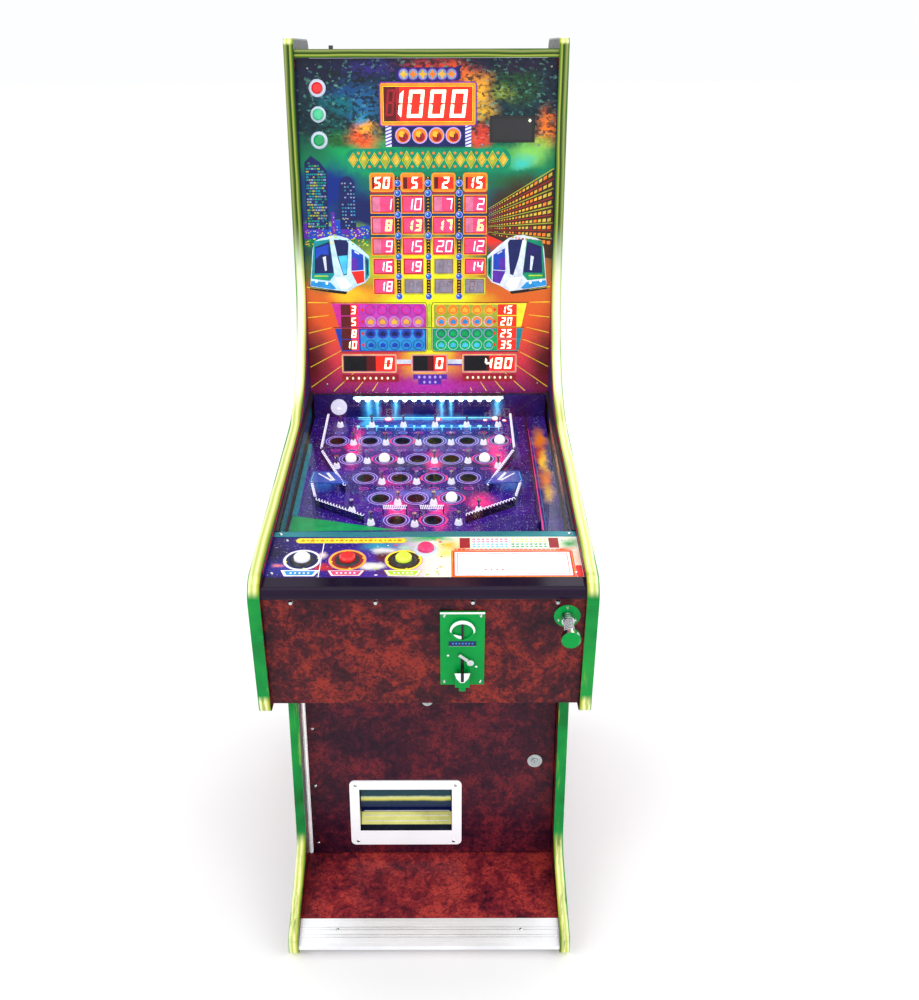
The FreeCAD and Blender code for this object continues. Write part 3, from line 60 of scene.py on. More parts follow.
class Paint:
    """Builds one node material round a Principled shader."""

    def __init__(self, name):
        self.material = bpy.data.materials.new(name)
        self.material.use_nodes = True
        self.tree = self.material.node_tree
        self.tree.nodes.clear()
        self.output = self.tree.nodes.new("ShaderNodeOutputMaterial")
        self.shader = self.tree.nodes.new("ShaderNodeBsdfPrincipled")
        self.tree.links.new(self.shader.outputs[0], self.output.inputs[0])
        self.place = self.node("ShaderNodeTexCoord").outputs["Object"]

    def node(self, kind, inputs=None, **settings):
        made = self.tree.nodes.new(kind)
        for key, value in settings.items():
            setattr(made, key, value)
        for key, value in (inputs or {}).items():
            self.put(made.inputs[key], value)
        return made

    def put(self, socket, value):
        if isinstance(value, bpy.types.NodeSocket):
            self.tree.links.new(value, socket)
        elif socket.type == "RGBA" and len(value) == 3:
            socket.default_value = (*value, 1)
        else:
            socket.default_value = value

    def set(self, **inputs):
        """Sets the shader's own inputs: Base_Color, Roughness, Metallic and so on."""
        for key, value in inputs.items():
            self.put(self.shader.inputs[key.replace("_", " ")], value)

    def vector(self, operation, a, b=(0, 0, 0)):
        made = self.node("ShaderNodeVectorMath", {0: a, 1: b}, operation=operation)
        return made.outputs["Value" if operation == "LENGTH" else "Vector"]

    def math(self, operation, a, b=0.0):
        return self.node("ShaderNodeMath", {0: a, 1: b}, operation=operation).outputs[0]

    def times(self, a, b):
        return self.math("MULTIPLY", a, b)

    def plus(self, a, b):
        return self.math("ADD", a, b)

    def scaled(self, place, x, y, z):
        return self.vector("MULTIPLY", place, (x, y, z))

    def noise(self, place, scale, detail=4.0, rough=0.55, distortion=0.0, colour=False):
        inputs = {"Vector": place, "Scale": scale, "Detail": detail}
        inputs.update({"Roughness": rough, "Distortion": distortion})
        return self.node("ShaderNodeTexNoise", inputs).outputs["Color" if colour else 0]

    def squares(self, place, scale):
        """Random colours in upright squares, as three shares."""
        inputs = {"Vector": place, "Scale": scale}
        made = self.node("ShaderNodeTexVoronoi", inputs, distance="CHEBYCHEV")
        return self.parts(made.outputs["Color"])

    def spread(self, value, low, high, to_low=0.0, to_high=1.0, smooth=False):
        inputs = {"Value": value, "From Min": low, "From Max": high, "To Min": to_low, "To Max": to_high}
        kind = "SMOOTHSTEP" if smooth else "LINEAR"
        return self.node("ShaderNodeMapRange", inputs, interpolation_type=kind).outputs[0]

    def ramp(self, value, *stops):
        made = self.node("ShaderNodeValToRGB", {0: value})
        points = made.color_ramp.elements
        while len(points) < len(stops):
            points.new(0.5)
        for point, (position, colour) in zip(points, stops):
            point.position = position
            point.color = (*colour, 1)
        return made.outputs[0]

    def mix(self, share, a, b):
        return self.node("ShaderNodeMix", {0: share, 6: a, 7: b}, data_type="RGBA").outputs[2]

    def bump(self, height, strength=0.2, distance=0.0005):
        made = self.node("ShaderNodeBump", {"Height": height, "Strength": strength, "Distance": distance})
        self.put(self.shader.inputs["Normal"], made.outputs[0])

    def parts(self, place):
        return tuple(self.node("ShaderNodeSeparateXYZ", {0: place}).outputs)

    def normal(self):
        return self.parts(self.node("ShaderNodeTexCoord").outputs["Normal"])

    def in_frame(self, matrix):
        """The place on a tilted face, in millimetres: x across, y up the face."""
        made = self.node("ShaderNodeMapping", {"Vector": self.place}, vector_type="TEXTURE")
        made.inputs["Location"].default_value = matrix.translation
        made.inputs["Rotation"].default_value = matrix.to_euler()
        return self.scaled(made.outputs[0], 1e3, 1e3, 1e3)

    def shaken(self, flat, scale, reach, detail=5):
        """The place on a face, moved about a little, so that what is printed there gets ragged rims."""
        noise = self.noise(self.place, scale, detail, 0.6, colour=True)
        away = self.vector("SUBTRACT", noise, (0.5, 0.5, 0.5))
        return self.vector("ADD", flat, self.scaled(away, reach, reach, 0))

    def clouds(self, place, under, blobs):
        """Ellipses of colour laid over a ground: (centre, reach, colour, softness of the rim) each."""
        for centre, reach, colour, *soft in blobs:
            away = self.vector("SUBTRACT", place, (*centre, 0))
            away = self.scaled(away, 1 / reach[0], 1 / reach[1], 0)
            hard = 1 - (soft[0] if soft else 1)
            share = self.spread(self.vector("LENGTH", away), hard, 1, 1, 0, smooth=True)
            under = self.mix(share, under, colour)
        return under

    def film(self, colour, wear, low, high, glow, shine=0.3):
        """Ends a print: its colour, gloss that wears between low and high, and a glow: light from behind on
        the head's glass, painted light on the other prints.
        """
        self.set(Base_Color=colour, Roughness=self.spread(wear, 0.3, 0.7, low, high))
        self.set(Specular_IOR_Level=shine, Emission_Color=colour, Emission_Strength=glow)
        return self.material


def burl(name, dark, middle, bright, shine=0.3):
    """Burl-pattern laminate: clouded mottles over a dark ground, under a glossy film."""
    p = Paint(name)
    cloud = p.noise(p.place, 14, 6, 0.6, 0.3)
    fleck = p.noise(p.place, 130, 5, 0.7, 0.6)
    knot = p.noise(p.place, 48, 4, 0.6, 0.8)
    tone = p.plus(p.times(cloud, 0.42), p.times(fleck, 0.30))
    tone = p.plus(tone, p.times(knot, 0.28))
    body = p.ramp(tone, (0.40, dark), (0.49, middle), (0.58, bright))
    pits = p.noise(p.place, 260, 3, 0.6)
    body = p.mix(p.spread(pits, 0.36, 0.46, 0.75, 0.0), body, dark)
    # the panels' inner faces above the top board carry the dark edge lacquer
    x, _, z = p.parts(p.place)
    inward = p.spread(p.times(x, p.normal()[0]), -0.10, -0.15)
    body = p.mix(p.times(inward, p.spread(z, 1.535, 1.537)), body, (0.004, 0.022, 0.010))
    p.set(Base_Color=body, Roughness=p.spread(fleck, 0.3, 0.7, shine, shine + 0.14))
    p.set(Specular_IOR_Level=0.16, Coat_Weight=0.04, Coat_Roughness=0.1)
    p.bump(fleck, 0.05, 0.0002)
    return p.material


def plain(name, colour, rough=0.4, metal=0.0, grain=220.0, vary=0.12, bump=0.08, coat=0.0, glow=0.0,
          shine=0.5):
    """Moulded, painted or bare material: fine grain, faint colour drift and roughness worn in patches. With
    glow it shines: a lamp's light on lenses, painted light on anything else.
    """
    p = Paint(name)
    drift = p.noise(p.place, 9, 5, 0.6)
    fine = p.noise(p.place, grain, 3, 0.5)
    low = tuple(c * (1 - vary) for c in colour)
    high = tuple(min(1.0, c * (1 + vary) + 0.01 * vary) for c in colour)
    shade = p.ramp(drift, (0.3, low), (0.7, high))
    p.set(Base_Color=shade, Metallic=metal, Specular_IOR_Level=shine)
    p.set(Coat_Weight=coat, Coat_Roughness=0.08)
    p.set(Roughness=p.spread(p.noise(p.place, 40, 5), 0.3, 0.7, rough * 0.8, min(1.0, rough * 1.25)))
    p.bump(fine, bump, 0.0003)
    if glow:
        p.set(Emission_Color=shade, Emission_Strength=glow)
    return p.material


def brushed(name, colour, rough, stretch, strength, glow=0.0, metal=1.0):
    """Metal with fine lines drawn along one direction."""
    p = Paint(name)
    lines = p.noise(p.scaled(p.place, *stretch), 40, 4, 0.6)
    drift = p.noise(p.place, 12, 4)
    low = tuple(c * 0.82 for c in colour)
    body = p.ramp(drift, (0.3, low), (0.7, colour))
    # glow is painted light
    p.set(Base_Color=body, Metallic=metal, Emission_Color=body, Emission_Strength=glow)
    p.set(Roughness=p.spread(lines, 0.3, 0.7, rough * 0.7, rough * 1.4))
    p.bump(lines, strength, 0.0002)
    return p.material


def printed_circuit():
    """Green circuit board with copper tracks in blocks and rows of solder dots."""
    p = Paint("circuit_green")
    flat = p.scaled(p.place, 1e3, 1e3, 1e3)
    x, _, z = p.parts(flat)
    way = p.spread(p.squares(p.scaled(flat, 1, 0, 1), 0.035)[0], 0.45, 0.55)
    across = p.math("SINE", p.times(x, 2.1))
    along = p.math("SINE", p.times(z, 2.1))
    track = p.spread(p.mix(way, across, along), 0.55, 0.75)
    track = p.times(track, p.spread(p.noise(p.place, 26, 3), 0.42, 0.52))
    board = p.ramp(p.noise(p.place, 30, 4), (0.35, (0.004, 0.075, 0.025)), (0.65, (0.010, 0.13, 0.045)))
    board = p.mix(p.times(track, 0.7), board, (0.05, 0.30, 0.12))
    spots = {"Vector": p.scaled(flat, 1, 0, 1), "Scale": 0.13, "Randomness": 0.35}
    dots = p.node("ShaderNodeTexVoronoi", spots)
    board = p.mix(p.spread(dots.outputs["Distance"], 0.16, 0.12), board, (0.55, 0.57, 0.58))
    p.set(Base_Color=board, Roughness=p.spread(track, 0, 1, 0.35, 0.25), Specular_IOR_Level=0.3)
    p.bump(track, 0.1, 0.0002)
    return p.material


def chrome(name, bright, dark, rough=0.1):
    """Plated metal with painted reflections: its colour turns dark and bright with the way the surface
    faces.
    """
    p = Paint(name)
    nx, _, nz = p.normal()
    scuff_and_sheen = p.noise(p.place, 90, 4, 0.6)
    # painted reflection: the colour follows which way the face looks, wobbled by the scuffs
    turn = p.plus(p.times(nz, 0.7), p.times(nx, 0.45))
    turn = p.plus(turn, p.times(p.math("SUBTRACT", scuff_and_sheen, 0.5), 0.3))
    middle = tuple(0.35 * a + 0.65 * b for a, b in zip(bright, dark))
    tones = (0.12, dark), (0.34, bright), (0.47, middle), (0.62, dark), (0.85, bright)
    body = p.ramp(p.spread(turn, -0.8, 0.9), *tones)
    p.set(Base_Color=body, Metallic=1.0, Roughness=p.spread(scuff_and_sheen, 0.3, 0.7, rough * 0.6, rough * 1.6))
    p.bump(scuff_and_sheen, 0.02, 0.0002)
    return p.material


def ink(name, colour, glow=0.25, rough=0.3):
    """Printed colour behind a clear film with a faint glow: light from behind on the head's glass, painted
    light on the field, the deck and the other sheets.
    """
    p = Paint(name)
    drift = p.noise(p.place, 60, 4, 0.6)
    dots = p.noise(p.place, 900, 1)
    low = tuple(c * 0.8 for c in colour)
    high = tuple(min(1.0, c * 1.15) for c in colour)
    shade = p.ramp(drift, (0.35, low), (0.65, high))
    p.set(Base_Color=shade, Roughness=p.spread(dots, 0.3, 0.7, rough, rough + 0.12))
    p.set(Specular_IOR_Level=0.3, Emission_Color=shade, Emission_Strength=glow)
    return p.material


def clear_pane(name, tint, mirror):
    """Sheet glass that lets the lamps through, with faint smears; its upper face mirrors by angle."""
    p = Paint(name)
    p.tree.nodes.remove(p.shader)
    smear = p.noise(p.scaled(p.place, 1, 0.3, 1), 25, 5)
    rough = p.spread(smear, 0.4, 0.8, 0.02, 0.07)
    gloss = p.node("ShaderNodeBsdfGlossy", {"Color": (1, 1, 1), "Roughness": rough})
    through = p.node("ShaderNodeBsdfTransparent", {"Color": tint})
    share = p.times(p.node("ShaderNodeFresnel", {"IOR": 1.45}).outputs[0], 0.35)
    shaders = {0: share if mirror else 0.02, 1: through.outputs[0], 2: gloss.outputs[0]}
    both = p.node("ShaderNodeMixShader", shaders)
    p.tree.links.new(both.outputs[0], p.output.inputs[0])
    return p.material


# ------------------------------------------------------------------ where things are


def face_frame(node, facing):
    """The frame of a node's main flat face: X across, Y up it, Z out of it, from its lower edge."""
    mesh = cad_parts[node].data
    areas = {}
    for face in mesh.polygons:
        if face.normal.dot(Vector(facing)) > 0.8:
            key = tuple(round(c, 3) for c in face.normal)
            areas[key] = areas.get(key, 0) + face.area
    out = Vector(max(areas, key=areas.get)).normalized()
    out.x = 0
    out.normalize()
    up = out.cross(Vector((1, 0, 0)))
    flat = [face for face in mesh.polygons if face.normal.dot(out) > 0.9999]
    points = [mesh.vertices[i].co for face in flat for i in face.vertices]
    level = max(point.dot(out) for point in points)
    points = [point for point in points if point.dot(out) > level - 1e-4]
    origin = min(points, key=lambda point: point.dot(up))
    matrix = Matrix.Identity(4)
    for row in range(3):
        matrix[row][:] = (float(row == 0), up[row], out[row], origin[row] if row else 0.0)
    return matrix


def shifted(matrix, x=0.0, y=0.0, z=0.0):
    return matrix @ Matrix.Translation((x * MM, y * MM, z * MM))


deck = shifted(face_frame("control_panel", (0, 0, 1)), y=-31)
head = shifted(face_frame("backglass", (0, -1, 0)), y=5)  # the print starts 5 mm above the panel's foot
apron = face_frame("apron", (0, -1, 0))
door = face_frame("front_door", (0, -1, 0))
kick = face_frame("kick_plate", (0, -0.5, 0.85))
field = shifted(deck, z=-55)


# ------------------------------------------------------------------ flat shapes, in millimetres


def rect(x0, y0, x1, y1, radius=0.0, steps=5):
    if not radius:
        return [(x0, y0), (x1, y0), (x1, y1), (x0, y1)]
    points = []
    corners = [(x1 - radius, y0 + radius, -90), (x1 - radius, y1 - radius, 0)]
    corners += [(x0 + radius, y1 - radius, 90), (x0 + radius, y0 + radius, 180)]
    for cx, cy, start in corners:
        for step in range(steps + 1):
            angle = math.radians(start + 90 * step / steps)
            points.append((cx + radius * math.cos(angle), cy + radius * math.sin(angle)))
    return points


def turns(steps):
    """Cosine and sine at equal steps round a circle."""
    angles = [2 * math.pi * step / steps for step in range(steps)]
    return [(math.cos(angle), math.sin(angle)) for angle in angles]


def disc(x, y, radius, squash=1.0, steps=28):
    return [(x + radius * cosine, y + radius * squash * sine) for cosine, sine in turns(steps)]


def area_of(shape):
    """Twice the area inside an outline, below zero where the outline runs clockwise."""
    return sum(a[0] * b[1] - b[0] * a[1] for a, b in zip(shape, shape[1:] + shape[:1]))


def band(outer, inner):
    """The strip between two outlines with the same number of points."""
    count = len(outer)
    return [[outer[i], outer[(i + 1) % count], inner[(i + 1) % count], inner[i]] for i in range(count)]


def border(x0, y0, x1, y1, width, radius=0.0):
    inside = max(0.01, radius - width) if radius else 0
    return band(rect(x0, y0, x1, y1, radius), rect(x0 + width, y0 + width, x1 - width, y1 - width, inside))


def ring(x, y, outer, inner, squash=1.0, steps=32):
    return band(disc(x, y, outer, squash, steps), disc(x, y, inner, squash, steps))


def stroke(points, width, width_end=None):
    """A line of straight quads through points, which may taper."""
    quads = []
    last = len(points) - 1
    width_end = width if width_end is None else width_end
    for i in range(last):
        (x0, y0), (x1, y1) = points[i], points[i + 1]
        length = math.hypot(x1 - x0, y1 - y0) or 1.0
        nx, ny = -(y1 - y0) / length / 2, (x1 - x0) / length / 2
        w0 = width + (width_end - width) * i / last
        w1 = width + (width_end - width) * (i + 1) / last
        quads.append([(x0 - nx * w0, y0 - ny * w0), (x1 - nx * w1, y1 - ny * w1)])
        quads[-1] += [(x1 + nx * w1, y1 + ny * w1), (x0 + nx * w0, y0 + ny * w0)]
    return quads


def star(x, y, radius, points=5, inner=0.42):
    outline = []
    for step in range(points * 2):
        reach = radius if step % 2 == 0 else radius * inner
        angle = math.radians(90 + 180 * step / points)
        outline.append((x + reach * math.cos(angle), y + reach * math.sin(angle)))
    return [[(x, y), outline[i], outline[(i + 1) % len(outline)]] for i in range(len(outline))]


SEGMENTS = {
    "0": "abcdef", "1": "bc", "2": "abged", "3": "abgcd", "4": "fgbc", "5": "afgcd",
    "6": "afgedc", "7": "abc", "8": "abcdefg", "9": "abcdfg",
}


def digit(value, x, y, width, height, thick, lean=0.13):
    """Seven-segment numeral with its lower left corner at x, y."""
    half, gap, t = height / 2, thick * 0.12, thick
    bars = {
        "a": ((0, height), (width, height), (width - t, height - t), (t, height - t)),
        "d": ((t, t), (width - t, t), (width, 0), (0, 0)),
        "g": ((t * 0.6, half + t / 2), (width - t * 0.6, half + t / 2), (width - t * 0.6, half - t / 2),
              (t * 0.6, half - t / 2)),
        "f": ((0, height - gap), (t, height - t - gap), (t, half + t / 3), (0, half + gap)),
        "e": ((0, half - gap), (t, half - t / 3), (t, t + gap), (0, gap)),
        "b": ((width - t, height - t - gap), (width, height - gap), (width, half + gap),
              (width - t, half + t / 3)),
        "c": ((width - t, half - t / 3), (width, half - gap), (width, gap), (width - t, t + gap)),
    }
    shapes = []
    for name in SEGMENTS[value]:
        points = [(x + px + py * lean, y + py) for px, py in bars[name]]
        shapes.append(points if area_of(points) > 0 else points[::-1])
    return shapes


def number(text, right, y, width, height, thick, gap=0.35):
    """Numerals that end at right."""
    shapes = []
    for place, value in enumerate(reversed(text)):
        x = right - (place + 1) * width - place * width * gap - height * 0.13
        shapes += digit(value, x, y, width, height, thick)
    return shapes


# ------------------------------------------------------------------ pieces made here


def finish_piece(name, mesh, matrix, body, materials, slot):
    for material in materials:
        mesh.materials.append(material)
    piece = bpy.data.objects.new(name, mesh)
    bpy.context.scene.collection.objects.link(piece)
    piece.matrix_world = matrix
    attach(piece, body)
    return piece


def new_mesh(name, vertices, faces):
    mesh = bpy.data.meshes.new(name)
    mesh.from_pydata(vertices, [], faces)
    return mesh


def skin(start, rows, steps):
    """Faces between rows of vertices that lie round an axis, with both ends shut."""
    faces = []
    for low in range(start, start + (rows - 1) * steps, steps):
        for step in range(steps):
            after = (step + 1) % steps
            faces.append([low + step, low + after, low + steps + after, low + steps + step])
    last = start + (rows - 1) * steps
    return faces + [list(range(start + steps - 1, start - 1, -1)), list(range(last, last + steps))]


class Sheet:
    """Thin printed or cut shapes on one face, each a closed solid of its own ink."""

    def __init__(self, name, matrix, slot, body=CABINET):
        self.name, self.matrix, self.body, self.slot = name, matrix, body, slot
        self.shapes = []

    def add(self, paint, shapes, low=0.05, thick=0.1):
        """paint is a material or an ink's name; shapes is one outline or a list of outlines.

        The shapes lie low millimetres off the face, and are thick millimetres thick.
        """
        material = INK.get(paint) or paint
        if shapes and isinstance(shapes[0][0], (int, float)):
            shapes = [shapes]
        self.shapes += [(material, shape, low, low + thick) for shape in shapes]

    def build(self):
        vertices, faces, marks, materials = [], [], [], []
        for material, shape, low, high in self.shapes:
            area = area_of(shape)
            if abs(area) < 1e-4:
                continue
            shape = shape if area > 0 else shape[::-1]
            if material not in materials:
                materials.append(material)
            start, count = len(vertices), len(shape)
            vertices += [(x * MM, y * MM, low * MM) for x, y in shape]
            vertices += [(x * MM, y * MM, high * MM) for x, y in shape]
            made = [list(range(start + count, start + 2 * count))]
            made.append(list(range(start + count - 1, start - 1, -1)))
            for i in range(count):
                j = (i + 1) % count
                made.append([start + i, start + j, start + count + j, start + count + i])
            faces += made
            marks += [materials.index(material)] * len(made)
        mesh = new_mesh(self.name, vertices, faces)
        mesh.polygons.foreach_set("material_index", marks)
        mesh.update()
        return finish_piece(self.name, mesh, self.matrix, self.body, materials, self.slot)


def tube(name, paths, radius, matrix, material, sides, slot):
    """Round wire along each path of points, in millimetres of the given frame."""
    vertices, faces = [], []
    for path in paths:
        points = [Vector(point) * MM for point in path]
        start, count = len(vertices), len(points)
        side = None
        for i, point in enumerate(points):
            way = (points[min(i + 1, count - 1)] - points[max(i - 1, 0)]).normalized()
            side = side or way.orthogonal().normalized()
            side = (side - way * side.dot(way)).normalized()
            other = way.cross(side)
            for cosine, sine in turns(sides):
                vertices.append(point + (side * cosine + other * sine) * radius * MM)
        faces += skin(start, count, sides)
    mesh = new_mesh(name, vertices, faces)
    mesh.shade_smooth()
    return finish_piece(name, mesh, matrix, CABINET, [material], slot)


def turned(name, profile, places, matrix, material, slot, steps=20):
    """Turned pieces about Z at each place, from (radius, height) points in millimetres."""
    vertices, faces = [], []
    for x, y, z in places:
        faces += skin(len(vertices), len(profile), steps)
        for radius, height in profile:
            for cosine, sine in turns(steps):
                place = (x + radius * cosine, y + radius * sine, z + height)
                vertices.append([value * MM for value in place])
    mesh = new_mesh(name, vertices, faces)
    mesh.shade_smooth()
    piece = finish_piece(name, mesh, matrix, CABINET, [material], slot)
    mesh.set_sharp_from_angle(angle=math.radians(35))
    return piece


def coil(start, end, radius, turns, steps=10):
    """Points of a helix between two points."""
    a, b = Vector(start), Vector(end)
    way = (b - a).normalized()
    side = way.orthogonal().normalized()
    other = way.cross(side)
    points = []
    for step in range(int(turns * steps) + 1):
        share = step / (turns * steps)
        angle = 2 * math.pi * step / steps
        points.append(a.lerp(b, share) + (side * math.cos(angle) + other * math.sin(angle)) * radius)
    return points


def dress(node, material, *rules, bevel=0.0):
    """Gives a CAD node its material, and other materials to the faces that a rule picks."""
    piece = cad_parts[node]
    piece.data.materials.clear()
    piece.data.materials.append(material)
    for face in piece.data.polygons:
        face.material_index = 0
    for index, (other, picks) in enumerate(rules, start=1):
        piece.data.materials.append(other)
        for face in piece.data.polygons:
            if picks(face.center / MM, face.normal):
                face.material_index = index
    if bevel:
        weld = piece.modifiers.new("weld", "WELD")
        weld.merge_threshold = 1e-5
        soft = piece.modifiers.new("bevel", "BEVEL")
        soft.width = bevel * MM
        soft.segments = 2
        soft.limit_method = "ANGLE"
        soft.angle_limit = math.radians(40)
        soft.harden_normals = False


def spot(matrix, point):
    """A row-frame point, in millimetres, as that frame's local millimetres."""
    return (matrix.inverted() @ (Vector(point) * MM)) / MM


# ------------------------------------------------------------------ materials

BURL = burl("burl_laminate", (0.012, 0.0015, 0.007), (0.066, 0.005, 0.011), (0.26, 0.022, 0.014))
# painted shade: a darker copy of the burl for the front door and the panel above it
BURL_SHADED = burl(
    "burl_laminate_door", (0.016, 0.0025, 0.013), (0.055, 0.006, 0.019), (0.17, 0.014, 0.024))
# painted light: a lighter copy of the burl for the toe board, which faces up
BURL_LIT = burl("burl_laminate_toe", (0.045, 0.006, 0.018), (0.24, 0.020, 0.030), (0.54, 0.055, 0.046))
BLACK_GLOSS = plain("arm_rest_gloss", (0.012, 0.004, 0.020), 0.12, grain=90, bump=0.03, shine=0.16)
BLACK_LAMINATE = plain("black_laminate", (0.02, 0.02, 0.023), 0.35, grain=500, bump=0.15)
BLACK_PLASTIC = plain("black_plastic", (0.016, 0.016, 0.02), 0.4, grain=600, bump=0.12)
# painted light: the white plastic glows a little
WHITE_PLASTIC = plain("white_plastic", (0.82, 0.83, 0.87), 0.25, grain=300, vary=0.05, coat=0.3, glow=0.3)
GREY_PLASTIC = plain("grey_plastic", (0.27, 0.28, 0.3), 0.45, grain=500)
CHROME = chrome("chrome", (0.82, 0.86, 0.86), (0.13, 0.15, 0.16))
# painted light: the satin steel glows a little
SATIN = plain("satin_steel", (0.86, 0.88, 0.90), 0.25, metal=0.4, vary=0.2, glow=0.35)
# painted light: a faint glow on the green plate
GREEN_CHROME = plain("green_plate", (0.0, 0.27, 0.045), 0.3, grain=150, vary=0.18, glow=0.1, shine=0.12)
ZINC = brushed("zinc_steel", (0.62, 0.64, 0.66), 0.25, (30, 30, 1.5), 0.1)
# painted light: the kick plate's aluminium glows
ALUMINIUM = brushed("kick_aluminium", (0.88, 0.89, 0.92), 0.42, (1, 120, 120), 0.3, glow=0.28)
SPRING = brushed("spring_steel", (0.6, 0.6, 0.63), 0.18, (1, 1, 1), 0.03)
# painted light: the balls glow, for their bright white
BALL = plain("ball_white", (0.85, 0.86, 0.93), 0.1, grain=60, vary=0.04, bump=0.02, coat=0.6, glow=0.8)
BOARD = plain("raw_board", (0.36, 0.24, 0.13), 0.75, grain=350, vary=0.3, bump=0.4)
HARDBOARD = plain("hardboard", (0.060, 0.028, 0.016), 0.6, grain=500, vary=0.25, bump=0.35, shine=0.2)
NYLON = plain("nylon", (0.66, 0.64, 0.58), 0.5)
COPPER = brushed("solenoid", (0.55, 0.28, 0.12), 0.35, (1, 1, 60), 0.3)
RAIL = chrome("rail_chrome", (0.16, 0.12, 0.34), (0.015, 0.008, 0.06), 0.16)
# painted highlights: the post collars glow, as bright white glints
COLLAR = plain("post_collar", (0.86, 0.84, 0.95), 0.2, vary=0.05, coat=0.3, glow=0.5)
# painted shade inside the payout cup
CUP_INSIDE = plain("cup_inside", (0.016, 0.022, 0.05), 0.3, vary=0.5, coat=0.2)
CIRCUIT = printed_circuit()
CHIP = plain("chip_black", (0.02, 0.02, 0.022), 0.5, grain=800, bump=0.2)
TEAL_BAR = brushed("stop_bar_teal", (0.02, 0.27, 0.33), 0.3, (1, 60, 60), 0.1, metal=0.4)
CAP_LOOKS = {
    # colour, how much it varies, glow (painted light)
    "white": ((0.83, 0.82, 0.95), 0.05, 0.25), "red": ((0.72, 0.012, 0.015), 0.1, 0.18),
    "yellow": ((0.62, 0.80, 0.06), 0.1, 0.25), "pink": ((0.72, 0.02, 0.16), 0.1, 0.15),
    "green": ((0.0, 0.34, 0.10), 0.12, 0.15),
}
CAPS = {
    name: plain(f"cap_{name}", colour, 0.2, coat=0.5, vary=vary, glow=glow)
    for name, (colour, vary, glow) in CAP_LOOKS.items()
}
LENS_GREEN = plain("lamp_green", (0.05, 0.45, 0.22), 0.12, coat=0.6, vary=0.3, grain=60, bump=0.3,
                   glow=0.25)
# painted light: a faint glow on the pale bezels
BEZEL_WHITE = plain("bezel_white", (0.62, 0.72, 0.86), 0.25, coat=0.4, vary=0.06, glow=0.1)
# painted light: the blue corner plastics glow a little
BLUE_TINT = plain("blue_plastic", (0.02, 0.10, 0.55), 0.15, coat=0.5, vary=0.2, glow=0.2)
GLASS = clear_pane("playfield_pane", (0.97, 0.98, 0.99), True)
GLASS_UNDER = clear_pane("playfield_pane_under", (0.99, 0.99, 0.99), False)
LED = plain("led_lens", (0.86, 0.98, 1.0), 0.3, vary=0.03, glow=6.0)
LED_SOFT = plain("led_diffuser", (0.40, 0.85, 1.0), 0.3, vary=0.1, glow=1.3)
LED_DOT = plain("meter_led", (0.9, 1.0, 0.6), 0.3, vary=0.03, glow=6.0)
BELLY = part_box("apron")[0][2]


